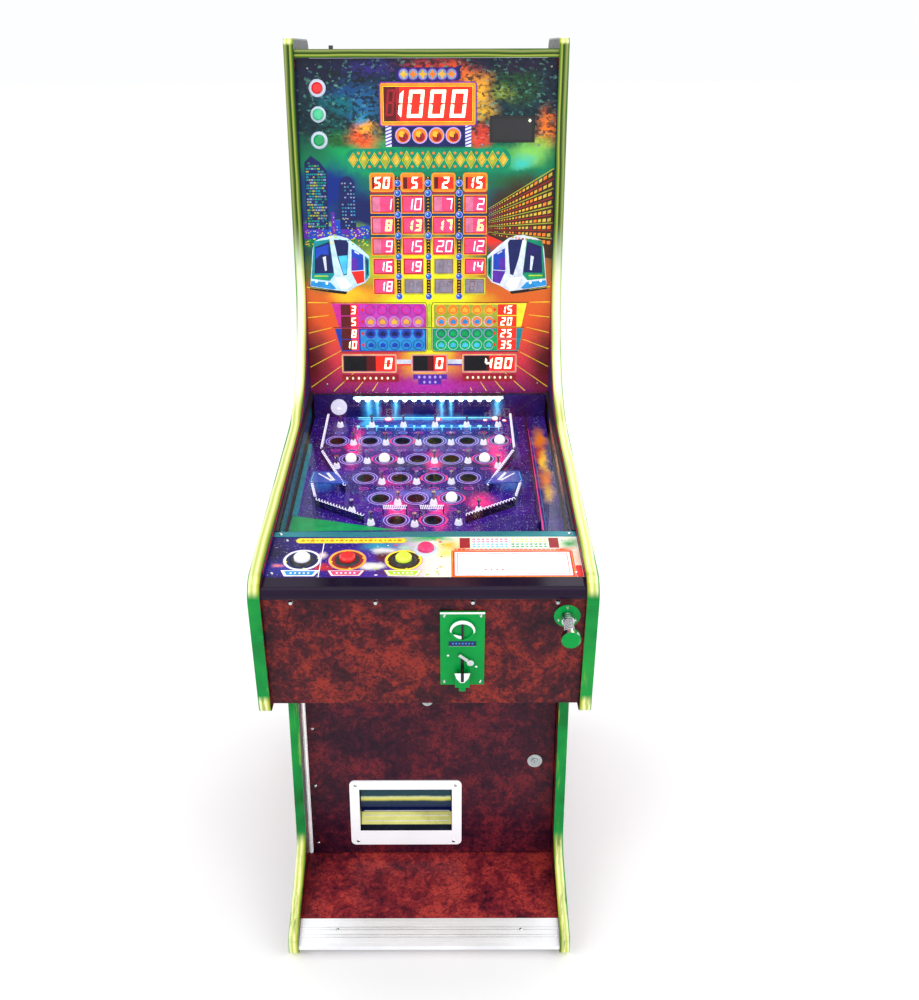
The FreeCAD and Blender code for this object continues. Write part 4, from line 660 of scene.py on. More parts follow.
def edge_trim(name, across):
    """Mirror-bright edge moulding: deep green where it stands low; its reflections are painted in as dark
    and bright streaks higher up, gold and lime highlights along the top and on faces turned up, and a pale
    highlight on the front of the arcs, with a faint painted glow.
    """
    p = Paint(name)
    x, y, z = p.parts(p.place)
    _, ny, nz = p.normal()
    cloud = p.noise(p.place, 11, 4, 0.55)
    # share of the way across the moulding, wavering a little along its length
    share = p.spread(p.math("ABSOLUTE", x), 0.237, 0.255) if across == "x" else p.spread(z, 1.522, 1.537)
    waver = p.times(p.math("SUBTRACT", p.noise(p.place, 5, 2), 0.5), 0.5)
    share = p.plus(share, waver)
    greens = (0.30, (0.0, 0.11, 0.015)), (0.50, (0.0, 0.21, 0.035)), (0.72, (0.01, 0.28, 0.035))
    green = p.ramp(cloud, *greens)
    # painted highlight: thin bright streaks along the mouldings below 0.8 m, strongest near the inner edge
    low_glints = p.noise(p.scaled(p.place, 1, 0.12, 0.12), 100, 5, 0.65)
    low_glints = p.times(low_glints, p.spread(z, 0.80, 0.70))
    low_glint_share = p.times(p.spread(low_glints, 0.56, 0.66, 0, 0.6), p.spread(share, 0.55, 0.1))
    green = p.mix(low_glint_share, green, (0.36, 0.42, 0.06))
    # painted reflection: dark and bright bands across the width of the moulding
    streaks = p.ramp(
        share, (0.0, (0.006, 0.03, 0.003)), (0.16, (0.08, 0.18, 0.012)), (0.32, (0.36, 0.42, 0.07)),
        (0.46, (0.005, 0.03, 0.004)), (0.60, (0.04, 0.10, 0.008)), (0.80, (0.28, 0.32, 0.10)),
        (1.0, (0.06, 0.14, 0.02)),
    )
    # painted highlight colours, gold and lime
    gold = p.ramp(
        share, (0.0, (0.05, 0.16, 0.01)), (0.20, (0.42, 0.46, 0.04)), (0.42, (0.84, 0.82, 0.40)),
        (0.66, (0.44, 0.54, 0.08)), (0.88, (0.82, 0.82, 0.48)), (1.0, (0.03, 0.26, 0.03)),
    )
    # pale painted highlight colours
    pale = p.ramp(
        share, (0.0, (0.16, 0.26, 0.03)), (0.20, (0.66, 0.66, 0.24)), (0.42, (0.90, 0.89, 0.66)),
        (0.80, (0.90, 0.90, 0.70)), (0.92, (0.55, 0.66, 0.26)), (1.0, (0.06, 0.30, 0.04)),
    )
    # painted reflection: low down, the gold breaks into the dark and bright bands
    gold = p.mix(p.spread(low_glints, 0.46, 0.62, 0, 0.75, smooth=True), gold, streaks)
    # the lowest corners, under the foot and under the apron, catch the light
    belly = p.times(p.spread(z, BELLY + 0.022, BELLY + 0.010), p.spread(y, -0.38, -0.40))
    corner = p.math("MAXIMUM", p.spread(z, 0.050, 0.035), belly)
    upright = p.mix(p.spread(z, 1.12, 1.24, smooth=True), p.mix(corner, green, gold), streaks)
    # painted highlight: faces turned up take the gold
    body = p.mix(p.spread(nz, 0.10, 0.55, smooth=True), upright, gold)
    # pale painted highlight on the front of the mouldings between 0.9 and 1.24 m
    arc = p.times(p.spread(z, 0.90, 0.95, smooth=True), p.spread(z, 1.10, 1.24, 1, 0, smooth=True))
    arc = p.times(arc, p.spread(ny, 0.4, -0.2))
    body = p.mix(arc, body, pale)
    p.set(Base_Color=body, Metallic=0.3, Roughness=p.spread(cloud, 0.3, 0.7, 0.14, 0.24))
    # a faint painted glow
    p.set(Specular_IOR_Level=0.25, Emission_Color=body, Emission_Strength=0.2)
    p.bump(cloud, 0.04, 0.0002)
    return p.material


TRIM = edge_trim("edge_moulding", "x")
TRIM_TOP = edge_trim("edge_moulding_top", "z")


def flap_steel():
    """Polished flap with a painted reflection of the gold tray in one band, and a faint painted glow."""
    p = Paint("flap_steel")
    waver = p.times(p.noise(p.scaled(p.place, 1, 1, 0.2), 30, 3), 0.006)
    height = p.plus(p.parts(p.place)[2], waver)
    # painted reflection: a gold band at the height of the tray
    body = p.ramp(
        p.spread(height, 0.170, 0.218),
        (0.0, (0.015, 0.02, 0.07)), (0.36, (0.02, 0.04, 0.07)), (0.46, (0.62, 0.58, 0.10)),
        (0.56, (0.55, 0.60, 0.30)), (0.64, (0.015, 0.05, 0.07)), (1.0, (0.02, 0.05, 0.06)),
    )
    p.set(Base_Color=body, Metallic=0.3, Roughness=p.spread(p.noise(p.place, 80, 3), 0.3, 0.7, 0.15, 0.3))
    p.set(Emission_Color=body, Emission_Strength=0.3, Specular_IOR_Level=0.2)
    return p.material


FLAP = flap_steel()


def head_art():
    """The display panel's painted ground: night blue, a red burst, green middle and a sunset foot."""
    p = Paint("head_print")
    flat = p.in_frame(head)
    near = p.shaken(flat, 22, 46)
    y = p.parts(flat)[1]
    grain = p.noise(p.place, 70, 6, 0.7)
    speck = p.noise(p.place, 160, 4, 0.7)
    ground = p.ramp(
        p.spread(y, 0, 618),
        (0.0, (0.16, 0.01, 0.10)), (0.10, (0.55, 0.03, 0.05)), (0.22, (0.62, 0.07, 0.01)),
        (0.33, (0.50, 0.10, 0.01)), (0.42, (0.01, 0.06, 0.03)), (0.56, (0.005, 0.03, 0.12)),
        (0.70, (0.0, 0.16, 0.06)), (0.82, (0.004, 0.028, 0.035)), (1.0, (0.008, 0.010, 0.035)),
    )
    ground = p.clouds(near, ground, [
        # centre, reach, colour, softness
        ((-200, 600), (70, 40), (0.004, 0.006, 0.03)), ((-100, 604), (90, 26), (0.022, 0.014, 0.14)),
        ((-140, 560), (80, 34), (0.004, 0.05, 0.17)), ((-120, 535), (50, 46), (0.01, 0.11, 0.28)),
        ((-118, 505), (26, 30), (0.02, 0.28, 0.42)), ((-165, 540), (60, 26), (0.0, 0.10, 0.13), 0.8),
        ((-170, 500), (60, 26), (0.0, 0.05, 0.05), 0.8), ((-215, 520), (36, 60), (0.0, 0.02, 0.03), 0.8),
        ((5, 606), (80, 22), (0.50, 0.03, 0.03)), ((55, 592), (64, 36), (0.70, 0.08, 0.01)),
        ((96, 566), (44, 44), (0.85, 0.36, 0.02)), ((104, 528), (36, 34), (0.55, 0.30, 0.02)),
        ((160, 575), (66, 50), (0.012, 0.05, 0.018), 0.7), ((170, 606), (70, 20), (0.014, 0.008, 0.03), 0.8),
        ((140, 560), (36, 22), (0.16, 0.22, 0.03)), ((222, 500), (30, 52), (0.75, 0.15, 0.01)),
        ((214, 470), (34, 24), (0.42, 0.42, 0.03)), ((100, 486), (36, 30), (0.60, 0.04, 0.02), 0.9),
        ((-120, 462), (96, 46), (0.0, 0.26, 0.07), 0.8), ((-160, 480), (60, 22), (0.01, 0.09, 0.02), 0.8),
        ((-118, 486), (40, 34), (0.75, 0.07, 0.01), 0.9), ((-108, 500), (30, 14), (0.80, 0.34, 0.02), 0.9),
        ((-60, 440), (150, 34), (0.0, 0.30, 0.09), 0.8), ((110, 448), (90, 30), (0.0, 0.30, 0.08), 0.9),
        ((190, 455), (60, 36), (0.16, 0.46, 0.08), 0.9), ((178, 440), (34, 20), (0.03, 0.42, 0.35)),
        ((150, 408), (70, 22), (0.01, 0.09, 0.03)), ((-185, 395), (90, 60), (0.0, 0.015, 0.16), 0.7),
        ((-130, 350), (60, 50), (0.004, 0.01, 0.08), 0.7), ((-180, 322), (90, 16), (0.16, 0.34, 0.04), 0.9),
        ((-180, 296), (90, 16), (0.0, 0.14, 0.02), 0.8), ((-170, 280), (80, 10), (0.004, 0.02, 0.006), 0.9),
        ((185, 350), (100, 76), (0.030, 0.014, 0.004), 0.5), ((130, 300), (34, 30), (0.75, 0.02, 0.01), 0.9),
        ((-120, 250), (60, 60), (0.30, 0.42, 0.02)), ((-190, 240), (80, 50), (0.05, 0.12, 0.02), 0.7),
        ((190, 250), (80, 50), (0.42, 0.10, 0.01), 0.8), ((0, 240), (130, 90), (0.78, 0.66, 0.01), 0.8),
        ((0, 182), (150, 30), (0.66, 0.72, 0.01), 0.8), ((-150, 192), (60, 26), (0.85, 0.42, 0.01), 0.9),
        ((0, 100), (80, 110), (0.72, 0.68, 0.01), 0.9),
        ((0, 48), (70, 40), (0.72, 0.25, 0.03)), ((0, 5), (150, 36), (0.34, 0.02, 0.30), 0.9),
        ((-236, 60), (60, 120), (0.10, 0.006, 0.008), 0.9),
        ((236, 60), (60, 120), (0.10, 0.006, 0.008), 0.9),
    ])
    upper = p.spread(y, 455, 500, smooth=True)
    tone = p.squares(p.scaled(flat, 1, 1.6, 0), 0.16)
    dark = p.times(p.spread(tone[0], 0.44, 0.52, 0, 0.9), p.spread(grain, 0.38, 0.56, 0.15, 1))
    ground = p.mix(p.times(dark, upper), ground, (0.003, 0.008, 0.012))
    light = p.times(p.spread(tone[1], 0.86, 0.9, 0, 0.5), p.spread(speck, 0.42, 0.6))
    ground = p.mix(p.times(light, upper), ground, (0.10, 0.32, 0.24))
    glitter = p.times(p.spread(speck, 0.68, 0.76, 0, 0.5), upper)
    ground = p.mix(glitter, ground, (0.45, 0.65, 0.45))
    return p.film(ground, speck, 0.22, 0.34, 0.45)


def field_art():
    """Playfield print: violet-blue with fine rings and star dust; the cyan and blue clouds at the top are
    the lamp strip's glow, painted, and the magenta clouds down the field are painted reflections of the lit
    numbers.
    """
    p = Paint("field_print")
    near = p.shaken(p.in_frame(field), 26, 40)
    violets = (0.35, (0.008, 0.003, 0.075)), (0.65, (0.032, 0.005, 0.19))
    base = p.ramp(p.noise(p.place, 12, 5, 0.6), *violets)
    base = p.clouds(near, base, [
        # painted light: the cyan and blue clouds along the top are the lamp strip's glow
        ((-10, 664), (190, 54), (0.02, 0.04, 0.26)), ((-10, 690), (170, 20), (0.03, 0.28, 0.66)),
        ((-10, 652), (160, 16), (0.03, 0.16, 0.50)), ((-126, 670), (18, 40), (0.04, 0.4, 0.7)),
        # painted reflections of the head's lit numbers: the magenta clouds
        ((-140, 560), (20, 110), (0.85, 0.02, 0.20)), ((128, 520), (26, 110), (0.85, 0.02, 0.22)),
        ((-60, 430), (50, 30), (0.70, 0.02, 0.20)), ((-50, 320), (30, 80), (0.95, 0.03, 0.22)),
        ((20, 310), (26, 80), (0.90, 0.03, 0.24)), ((95, 350), (34, 46), (0.80, 0.02, 0.20)),
        ((-20, 380), (120, 24), (0.10, 0.10, 0.42)), ((10, 500), (24, 60), (0.75, 0.02, 0.20)),
        ((-190, 420), (34, 40), (0.02, 0.14, 0.50)),
        ((150, 420), (34, 40), (0.02, 0.14, 0.50)), ((-180, 250), (80, 30), (0.01, 0.02, 0.16)),
        ((140, 270), (60, 40), (0.015, 0.005, 0.14)), ((215, 500), (26, 260), (0.01, 0.02, 0.14)),
        ((212, 590), (20, 70), (0.60, 0.16, 0.01), 0.9), ((208, 530), (16, 60), (0.45, 0.03, 0.02)),
        ((216, 500), (14, 70), (0.85, 0.50, 0.03)), ((210, 430), (20, 60), (0.62, 0.16, 0.02)),
        ((216, 380), (16, 50), (0.60, 0.34, 0.03)),
    ])
    dust = p.spread(p.noise(p.place, 420, 2, 0.5), 0.66, 0.72, 0, 0.8)
    base = p.mix(dust, base, (0.5, 0.55, 0.9))
    # the print's glow is painted light
    return p.film(base, p.noise(p.place, 60, 4), 0.12, 0.25, 0.75)


def deck_art():
    """Control panel print: indigo at the left, through green, to yellow and cream at the right."""
    p = Paint("deck_print")
    near = p.shaken(p.in_frame(deck), 30, 30)
    base = p.ramp(
        p.spread(p.parts(near)[0], -237, 237),
        (0.0, (0.01, 0.004, 0.10)), (0.26, (0.035, 0.008, 0.26)), (0.38, (0.08, 0.03, 0.32)),
        (0.45, (0.50, 0.42, 0.55)), (0.53, (0.88, 0.85, 0.70)), (0.70, (0.9, 0.88, 0.66)),
        (1.0, (0.92, 0.9, 0.75)),
    )
    base = p.clouds(near, base, [
        ((-210, 60), (60, 30), (0.02, 0.02, 0.30)), ((-230, 100), (40, 40), (0.008, 0.004, 0.05)),
        ((-150, 125), (90, 26), (0.02, 0.008, 0.18)), ((-70, 118), (40, 26), (0.02, 0.30, 0.46)),
        ((-62, 104), (26, 16), (0.70, 0.68, 0.70), 0.7), ((-60, 86), (22, 22), (0.10, 0.015, 0.03), 0.6),
        ((-78, 62), (22, 14), (0.75, 0.72, 0.68), 0.7), ((-62, 46), (24, 12), (0.08, 0.02, 0.16), 0.8),
        ((-150, 60), (24, 16), (0.50, 0.02, 0.03), 0.8), ((-152, 92), (12, 14), (0.80, 0.60, 0.62), 0.8),
        ((-222, 66), (10, 6), (0.75, 0.20, 0.30), 0.8), ((10, 140), (60, 16), (0.02, 0.36, 0.10)),
        ((-30, 112), (18, 14), (0.35, 0.60, 0.45)), ((42, 120), (34, 22), (0.80, 0.50, 0.04)),
        ((58, 106), (22, 14), (0.85, 0.16, 0.02)), ((32, 100), (26, 20), (0.70, 0.80, 0.15)),
        ((222, 126), (26, 24), (0.04, 0.36, 0.08)), ((214, 108), (20, 10), (0.75, 0.10, 0.02)),
        ((232, 84), (12, 34), (0.9, 0.62, 0.45)),
    ])
    speck = p.noise(p.place, 240, 3, 0.6)
    base = p.mix(p.spread(speck, 0.64, 0.72, 0, 0.5), base, (0.9, 0.85, 0.75))
    # the print's faint glow is painted light
    return p.film(base, speck, 0.2, 0.32, 0.12, shine=0.2)


def soft_print(name, ground, blobs, glow):
    """Airbrushed print for a sheet: clouds of colour over a ground, from (centre, reach, colour) each; the
    back wall's clouds are painted light.
    """
    p = Paint(name)
    near = p.shaken(p.scaled(p.place, 1e3, 1e3, 1e3), 40, 12, detail=4)
    low = tuple(c * 0.6 for c in ground)
    body = p.clouds(near, p.ramp(p.noise(p.place, 20, 4), (0.35, low), (0.65, ground)), blobs)
    return p.film(body, p.noise(p.place, 60, 4), 0.2, 0.35, glow)


HEAD_ART = head_art()
FIELD_ART = field_art()
DECK_ART = deck_art()

INK_COLOURS = {
    "cream": (0.95, 0.88, 0.66), "white": (0.92, 0.92, 0.94), "red": (0.78, 0.02, 0.012),
    "dark_red": (0.10, 0.006, 0.008), "maroon": (0.30, 0.012, 0.02), "orange": (0.92, 0.20, 0.015),
    "amber": (0.95, 0.42, 0.03), "yellow": (0.93, 0.76, 0.03), "lime": (0.42, 0.62, 0.03),
    "green": (0.0, 0.36, 0.09), "teal": (0.0, 0.24, 0.28), "cyan": (0.06, 0.50, 0.80),
    "sky": (0.02, 0.26, 0.62), "blue": (0.01, 0.05, 0.42), "navy": (0.006, 0.012, 0.09),
    "violet": (0.09, 0.02, 0.34), "magenta": (0.60, 0.02, 0.30), "pink": (0.85, 0.06, 0.20),
    "rose": (0.62, 0.16, 0.28), "grey": (0.24, 0.22, 0.28), "silver": (0.62, 0.68, 0.78),
    "black": (0.006, 0.006, 0.008), "gold": (0.62, 0.44, 0.05), "ice": (0.50, 0.70, 0.86),
    "umber": (0.045, 0.018, 0.006), "olive": (0.34, 0.36, 0.03), "deep": (0.012, 0.008, 0.10),
    "orchid": (0.50, 0.04, 0.40), "mauve": (0.50, 0.16, 0.32), "steel": (0.20, 0.27, 0.42),
    "jade": (0.0, 0.22, 0.11), "lilac": (0.45, 0.35, 0.80),
}
LIT_COLOURS = {
    # inks lit from behind: colour, strength; on the playfield their glow is painted light
    "cream": ((1.0, 0.90, 0.62), 1.6), "white": ((1.0, 0.93, 0.95), 1.3),
    "yellow": ((1.0, 0.90, 0.25), 1.4), "red": ((0.85, 0.02, 0.01), 0.7), "pink": ((0.85, 0.05, 0.16), 0.5),
    "cyan": ((0.25, 0.80, 1.0), 1.2), "lilac": ((0.50, 0.42, 0.95), 0.6),
    "magenta": ((0.85, 0.04, 0.32), 0.8), "azure": ((0.10, 0.50, 1.0), 0.9),
}
INK = {name: ink(f"ink_{name}", colour) for name, colour in INK_COLOURS.items()}
INK.update({f"lit_{name}": ink(f"lit_{name}", *look) for name, look in LIT_COLOURS.items()})


# ------------------------------------------------------------------ the CAD nodes' own finishes


FINISHES = [
    # material, edge rounding in millimetres, nodes
    (BURL, 0, "side_panel_left side_panel_right"),
    (TRIM, 0, "edge_trim_left edge_trim_right"),
    (TRIM_TOP, 0, "top_edge_trim"),
    (BLACK_LAMINATE, 0.6, "top_board"),
    (BURL_LIT, 0, "kick_board"),
    (ALUMINIUM, 0, "kick_plate"),
    (HARDBOARD, 0, "rear_lower_panel rear_door"),
    (SATIN, 0, "hinge_fixed_leaves door_hinge_leaf"),
    (NYLON, 0, "foot_glides"),
    (BURL, 0.4, "apron"),
    (BURL_SHADED, 0.5, "front_door"),
    (BLACK_GLOSS, 0, "arm_rest"),
    (DECK_ART, 0, "control_panel"),
    (TEAL_BAR, 0.6, "glass_stop_bar"),
    (BLACK_PLASTIC, 0.3, "glass_channels"),
    (BLACK_PLASTIC, 0, "shutter_board coin_acceptor meter_window"),
    (COLLAR, 0, "post_collars"),
    (BLUE_TINT, 0, "corner_plastics"),
    (BALL, 0, "balls"),
    (ZINC, 0, "rear_hinge_leaf ball_lifter power_supply"),
    (GREEN_CHROME, 0, "coin_faceplate"),
    (CHROME, 0, "coin_return_lever screws door_screws"),
    (CHROME, 0, "door_lock_barrels door_lock_plug top_lock_plug rear_lock_barrel rear_lock_plug"),
    (SPRING, 0, "plunger_cushion_spring plunger_spring"),
    (FLAP, 0, "payout_flap"),
    (CAPS["white"], 0.8, "button_white"),
    (CAPS["red"], 0.8, "button_red header_button_red"),
    (CAPS["yellow"], 0.8, "button_yellow"),
    (CAPS["pink"], 0.8, "button_pink"),
    (CAPS["green"], 0.8, "header_button_green"),
]
for material, rounding, nodes in FINISHES:
    for node in nodes.split():
        dress(node, material, bevel=rounding)


def off(matrix, centre):
    """How far a face's centre is from a frame's face, in millimetres."""
    return spot(matrix, centre).z


def wood_of_boards(c, n):
    """The strips and battens that carry the circuit boards."""
    strip = 429 < c.y < 441.8 or (abs(c.y - 442) < 0.3 and n.y > 0.5)
    return strip or (290 < c.y < 330 and abs(c.x) > 204)


def pale_bezel(c, n):
    small_button = math.hypot(c.x - 2, spot(deck, c).y - 107) < 20
    return c.z > 1300 or small_button


def lamp_lens(c, n):
    place = spot(head, c)
    return math.hypot(place.x + 199.5, place.y - 524) < 9.95


dress("inner_frame", BOARD, (BURL_SHADED, lambda c, n: c.y < -105.5 and c.z > 430 and n.y < -0.5))
dress("power_inlet", BLACK_PLASTIC, (ZINC, lambda c, n: c.y < 494 and 92 < c.z < 102 and 130 < c.x < 150))
dress("playfield_board", FIELD_ART, (BLACK_PLASTIC, lambda c, n: n.z < 0.9))
dress("playfield_glass", GLASS, (GLASS_UNDER, lambda c, n: n.z < 0.9))
dress("ball_rails", RAIL, (BLACK_LAMINATE, lambda c, n: c.y > 250))
dress("ball_trough", ZINC, (COPPER, lambda c, n: c.y < -150 or (c.x > 140 and c.z > 790)))
dress("led_strip", BLACK_PLASTIC, (LED, lambda c, n: spot(deck, c).y < 683.9))
dress("plunger_housing", CHROME, (GREEN_CHROME, lambda c, n: 2.5 < off(apron, c) < 3.3))
dress("plunger_rod", CHROME, (GREEN_CHROME, lambda c, n: off(apron, c) > 60))
dress("backglass", HEAD_ART, (BLACK_LAMINATE, lambda c, n: n.y > -0.9))
dress("circuit_boards", CIRCUIT, (CHIP, lambda c, n: c.y > 444.2), (BOARD, wood_of_boards))
dress("coin_hopper", GREY_PLASTIC, (ZINC, lambda c, n: c.z < 132))
# painted shade: the inside of the white payout cup is near-black
dress("payout_cup", WHITE_PLASTIC, (CUP_INSIDE, lambda c, n: c.y > -107 and c.z < 225))
dress("button_housings", BLACK_PLASTIC, (BEZEL_WHITE, pale_bezel), (LENS_GREEN, lamp_lens))


# ------------------------------------------------------------------ display head artwork

rng = random.Random(7)


def towers():
    """Skyline at the left: two lit towers, and small lights along the ground."""
    art = Sheet("head_skyline", head, "head_print")
    art.add("navy", [(-229, 318), (-188, 318), (-188, 424), (-200, 440), (-217, 452), (-229, 440)], 0.05)
    for floor in range(24):
        y = 322 + 5.0 * floor
        right = -190 if y < 418 else -190 - (y - 418) * 0.8
        x = -227
        while x < right - 3:
            shade = rng.choice(["jade", "teal", "olive", "steel", "navy"])
            width = rng.uniform(2.5, 6)
            art.add(shade, rect(x, y, min(x + width, right), y + 2.9), 0.16)
            x += width + 1.1
    arch = [(-166, 318), (-136, 318), (-136, 396)]
    bends = (0.4, 0.8, 1.2, 1.57, 1.94, 2.34, 2.74)
    arch += [(-151 + 15 * math.cos(t), 396 + 19 * math.sin(t)) for t in bends]
    art.add("navy", arch + [(-166, 396)], 0.05)
    for row in range(13):
        for column in range(5):
            if rng.random() < 0.62:
                shade = rng.choice(["steel", "steel", "teal", "sky"])
                x, y = -162 + 5.4 * column, 324 + 6.4 * row
                art.add(shade, rect(x, y, x + 3.2, y + 2.6), 0.16)
    x = -236
    while x < -116:
        width, height = rng.uniform(6, 15), rng.uniform(16, 54)
        art.add(rng.choice(["navy", "violet", "blue"]), rect(x, 300, x + width, 306 + height), 0.03, 0.08)
        for _ in range(5):
            spot_x, spot_y = x + rng.uniform(1, width - 2), 302 + rng.uniform(2, height)
            shade = rng.choice(["amber", "lime", "yellow", "rose", "cyan"])
            art.add(shade, rect(spot_x, spot_y, spot_x + 1.8, spot_y + 1.5), 0.13)
        x += width
    for _ in range(70):
        x, y = rng.uniform(-234, -118), rng.uniform(286, 312)
        shade = rng.choice(["lime", "lime", "green", "yellow", "amber"])
        art.add(shade, rect(x, y, x + rng.uniform(1.5, 5), y + rng.uniform(1, 3)), 0.17)
    art.build()


def lattice():
    """Fan of lit roof ribs at the right."""
    art = Sheet("head_lattice", head, "head_print")
    origin = (52, 318)
    art.add("umber", [(114, 330), (236, 428), (236, 262), (204, 268), (114, 306)], 0.02, 0.06)
    slopes = [0.60, 0.50, 0.405, 0.315, 0.225, 0.14, 0.06, -0.02, -0.10]
    upper, lower = ["amber", "gold", "gold", "orange"], ["orange", "maroon", "gold"]
    for order, slope in enumerate(slopes):
        start = (114, origin[1] + slope * 62)
        end = (235.5, origin[1] + slope * 183)
        art.add("maroon" if order % 2 else "olive", stroke([start, end], 0.8, 2.2))
        x = 116.0
        while x < 234:
            reach = x - origin[0]
            y = origin[1] + (slope - 0.045) * reach
            size = 0.5 + 3.0 * (reach - 62) / 122
            shade = rng.choice(upper if order < 6 else lower)
            lean = size * slope
            left, right, under, over = x - size, x + size, y - lean, y + lean
            art.add(shade, [(left, under - size), (right, over - size * 0.9), (right, over + size),
                            (left, under + size * 0.8)], 0.1)
            x += 2.2 + size * 2.3
    art.build()


def train(name, flip, shell, tint, glass, pane, panel):
    """Plain rounded railcar, seen from a front corner."""
    art = Sheet(name, head, "head_print")

    rows = [
        # ink, points, height over the glass
        ("black", [(-229, 213), (-229, 205), (-183, 197.5), (-160, 195), (-156, 201), (-180, 203)], 0.05),
        (shell, [(-228, 210), (-226.4, 226), (-221, 279), (-216.7, 296), (-205, 301), (-188.6, 304.5),
                 (-181.5, 307), (-168, 306), (-153.4, 301.5), (-133, 286), (-113, 267.5), (-113, 229),
                 (-121.8, 217.4), (-137.6, 211), (-156, 200), (-180, 203)], 0.1),
        (tint, [(-217.5, 296), (-187.7, 299.5), (-181, 232), (-190.5, 221), (-225.2, 225)], 0.21),
        ("navy", [(-215.8, 285), (-188.6, 295), (-182, 236), (-218.6, 235)], 0.32),
        (pane, [(-214.5, 283), (-190, 291), (-190.5, 270), (-204, 272), (-216, 262)], 0.43),
        ("silver", [(-202, 266), (-195.8, 268), (-194.8, 241), (-198.4, 240)], 0.43),
        ("lime", [(-219.3, 231.5), (-193, 231.5), (-192.5, 229), (-219.3, 229)], 0.43),
        ("green", [(-220.5, 228), (-192.5, 227.5), (-193.5, 223.5), (-220.5, 225.3)], 0.43),
        ("navy", [(-179.8, 298.8), (-155.2, 298), (-151.7, 291.7), (-156.9, 232.7), (-163.1, 230.9),
                  (-172.8, 263)], 0.21),
        (glass, [(-172.2, 268), (-154.6, 269.5), (-157.6, 234.5), (-162.6, 233), (-171, 262)], 0.32),
        ("blue", [(-146.4, 282), (-124.3, 270), (-124.3, 241.6), (-148, 240)], 0.21),
        ("violet", [(-146.4, 266), (-136, 262), (-136, 241), (-147.4, 240.4)], 0.32),
        ("silver", [(-141, 278), (-132, 273), (-132, 270.5), (-141, 275)], 0.32),
        (panel, [(-148.2, 238.5), (-123.5, 240.5), (-123.5, 219), (-137.6, 214.5)], 0.21),
        (tint, [(-121.6, 269), (-113.6, 262), (-113.6, 231), (-121.6, 221)], 0.21),
        ("navy", [(-119, 263), (-116, 260), (-116, 234), (-119, 231)], 0.32),
        ("sky", [(-226, 221), (-189, 218), (-178, 206), (-184, 204.5), (-227.6, 211.5)], 0.21),
        ("white", [(-179.5, 228), (-160, 226), (-148, 212), (-157, 205), (-170, 206)], 0.21),
        ("lit_cream", disc(-216, 220, 2.2), 0.32),
        ("lit_cream", disc(-196, 216.5, 2.2), 0.32),
    ]
    for ink, points, low in rows:
        art.add(ink, [(-x if flip else x, y) for x, y in points], low)
    art.build()


def rays():
    """Yellow rays that fan out from the pay table to both sides."""
    art = Sheet("head_rays", head, "head_print")
    for side in (-1, 1):
        for step in range(13):
            angle = math.radians(8 - 7.2 * step)
            x0, y0, x1, y1 = [
                value
                for reach in (186.0 if step > 6 else 196.0, 400.0)
                for value in (reach * math.cos(angle) * side, 176 + reach * math.sin(angle))
            ]
            # the ray stops at the edge of the glass, here as a share of its length
            limit = 1.0
            if abs(x1) > 235:
                limit = min(limit, (235 - abs(x0)) / (abs(x1) - abs(x0)))
            if y1 < 2:
                limit = min(limit, (2 - y0) / (y1 - y0))
            if limit <= 0.03 or y0 < 4:
                continue
            end = (x0 + (x1 - x0) * limit, y0 + (y1 - y0) * limit)
            art.add("yellow", stroke([(x0, y0), end], 0.7, 1.5), 0.05)
    art.build()


def bonus_display():
    """Lit number window at the top, the four round lamps under it, and a plaque over it."""
    art = Sheet("head_bonus_display", head, "head_print")
    art.add("violet", border(-87.5, 502.5, 91, 580, 2.0, 5), 0.05)
    art.add("orange", rect(-85.5, 504.5, 89, 578, 4), 0.1)
    art.add("amber", border(-84, 506, 87.5, 576.5, 1.2, 3), 0.22)
    art.add("yellow", border(-80.5, 510.5, 84, 572.5, 1.0), 0.22)
    art.add("dark_red", rect(-79.5, 511.5, -57, 571.5), 0.25)
    art.add("maroon", rect(-57, 511.5, -50, 571.5), 0.25)
    art.add("lit_red", rect(-50, 511.5, 83, 571.5), 0.25)
    art.add("maroon", digit("8", -77, 521, 15, 46, 4.2, 0.1), 0.36)
    for value, left, width in (("1", -66, 18), ("0", -37.5, 28), ("0", 1.5, 28), ("0", 41, 28)):
        art.add("lit_cream", digit(value, left, 518, width, 48, 6.2, 0.12), 0.36)
    art.add("navy", rect(-77, 467, 81, 506), 0.03, 0.1)
    art.add("silver", rect(-77, 467, -66, 504), 0.14)
    art.add("silver", rect(70, 467, 81, 504), 0.14)
    for step in range(6):
        for left in (-77, 70):
            y = 468 + 6.2 * step
            art.add("violet", [(left, y), (left + 11, y + 4), (left + 11, y + 6.5), (left, y + 2.5)], 0.25)
    for x in (-45, -14, 17, 48):
        art.add("lilac", ring(x, 487, 14.5, 12.6), 0.25)
        art.add("orange", disc(x, 487, 12.6), 0.2)
        art.add("maroon", disc(x + 1, 484.5, 8.6), 0.31)
        art.add("amber", disc(x - 2, 489.5, 5.4), 0.42)
        art.add("dark_red", rect(x + 1, 480, x + 3, 490), 0.5)
    # ornament in the place of a word above the display
    plaque = [(-58, 584), (-50, 581), (55, 581), (62, 585), (60, 600), (66, 610), (52, 604),
              (-50, 604), (-66, 610), (-58, 600)]
    art.add("navy", plaque, 0.05)
    for step in range(6):
        x = -42 + 17.4 * step
        art.add("violet", disc(x, 592.5, 10.5, 1.05), 0.16)
        art.add("steel", disc(x, 592.5, 8.6, 1.05), 0.27)
        art.add("orange" if step % 2 else "amber", star(x, 592.5, 7.8, 4, 0.5), 0.38)
    art.build()


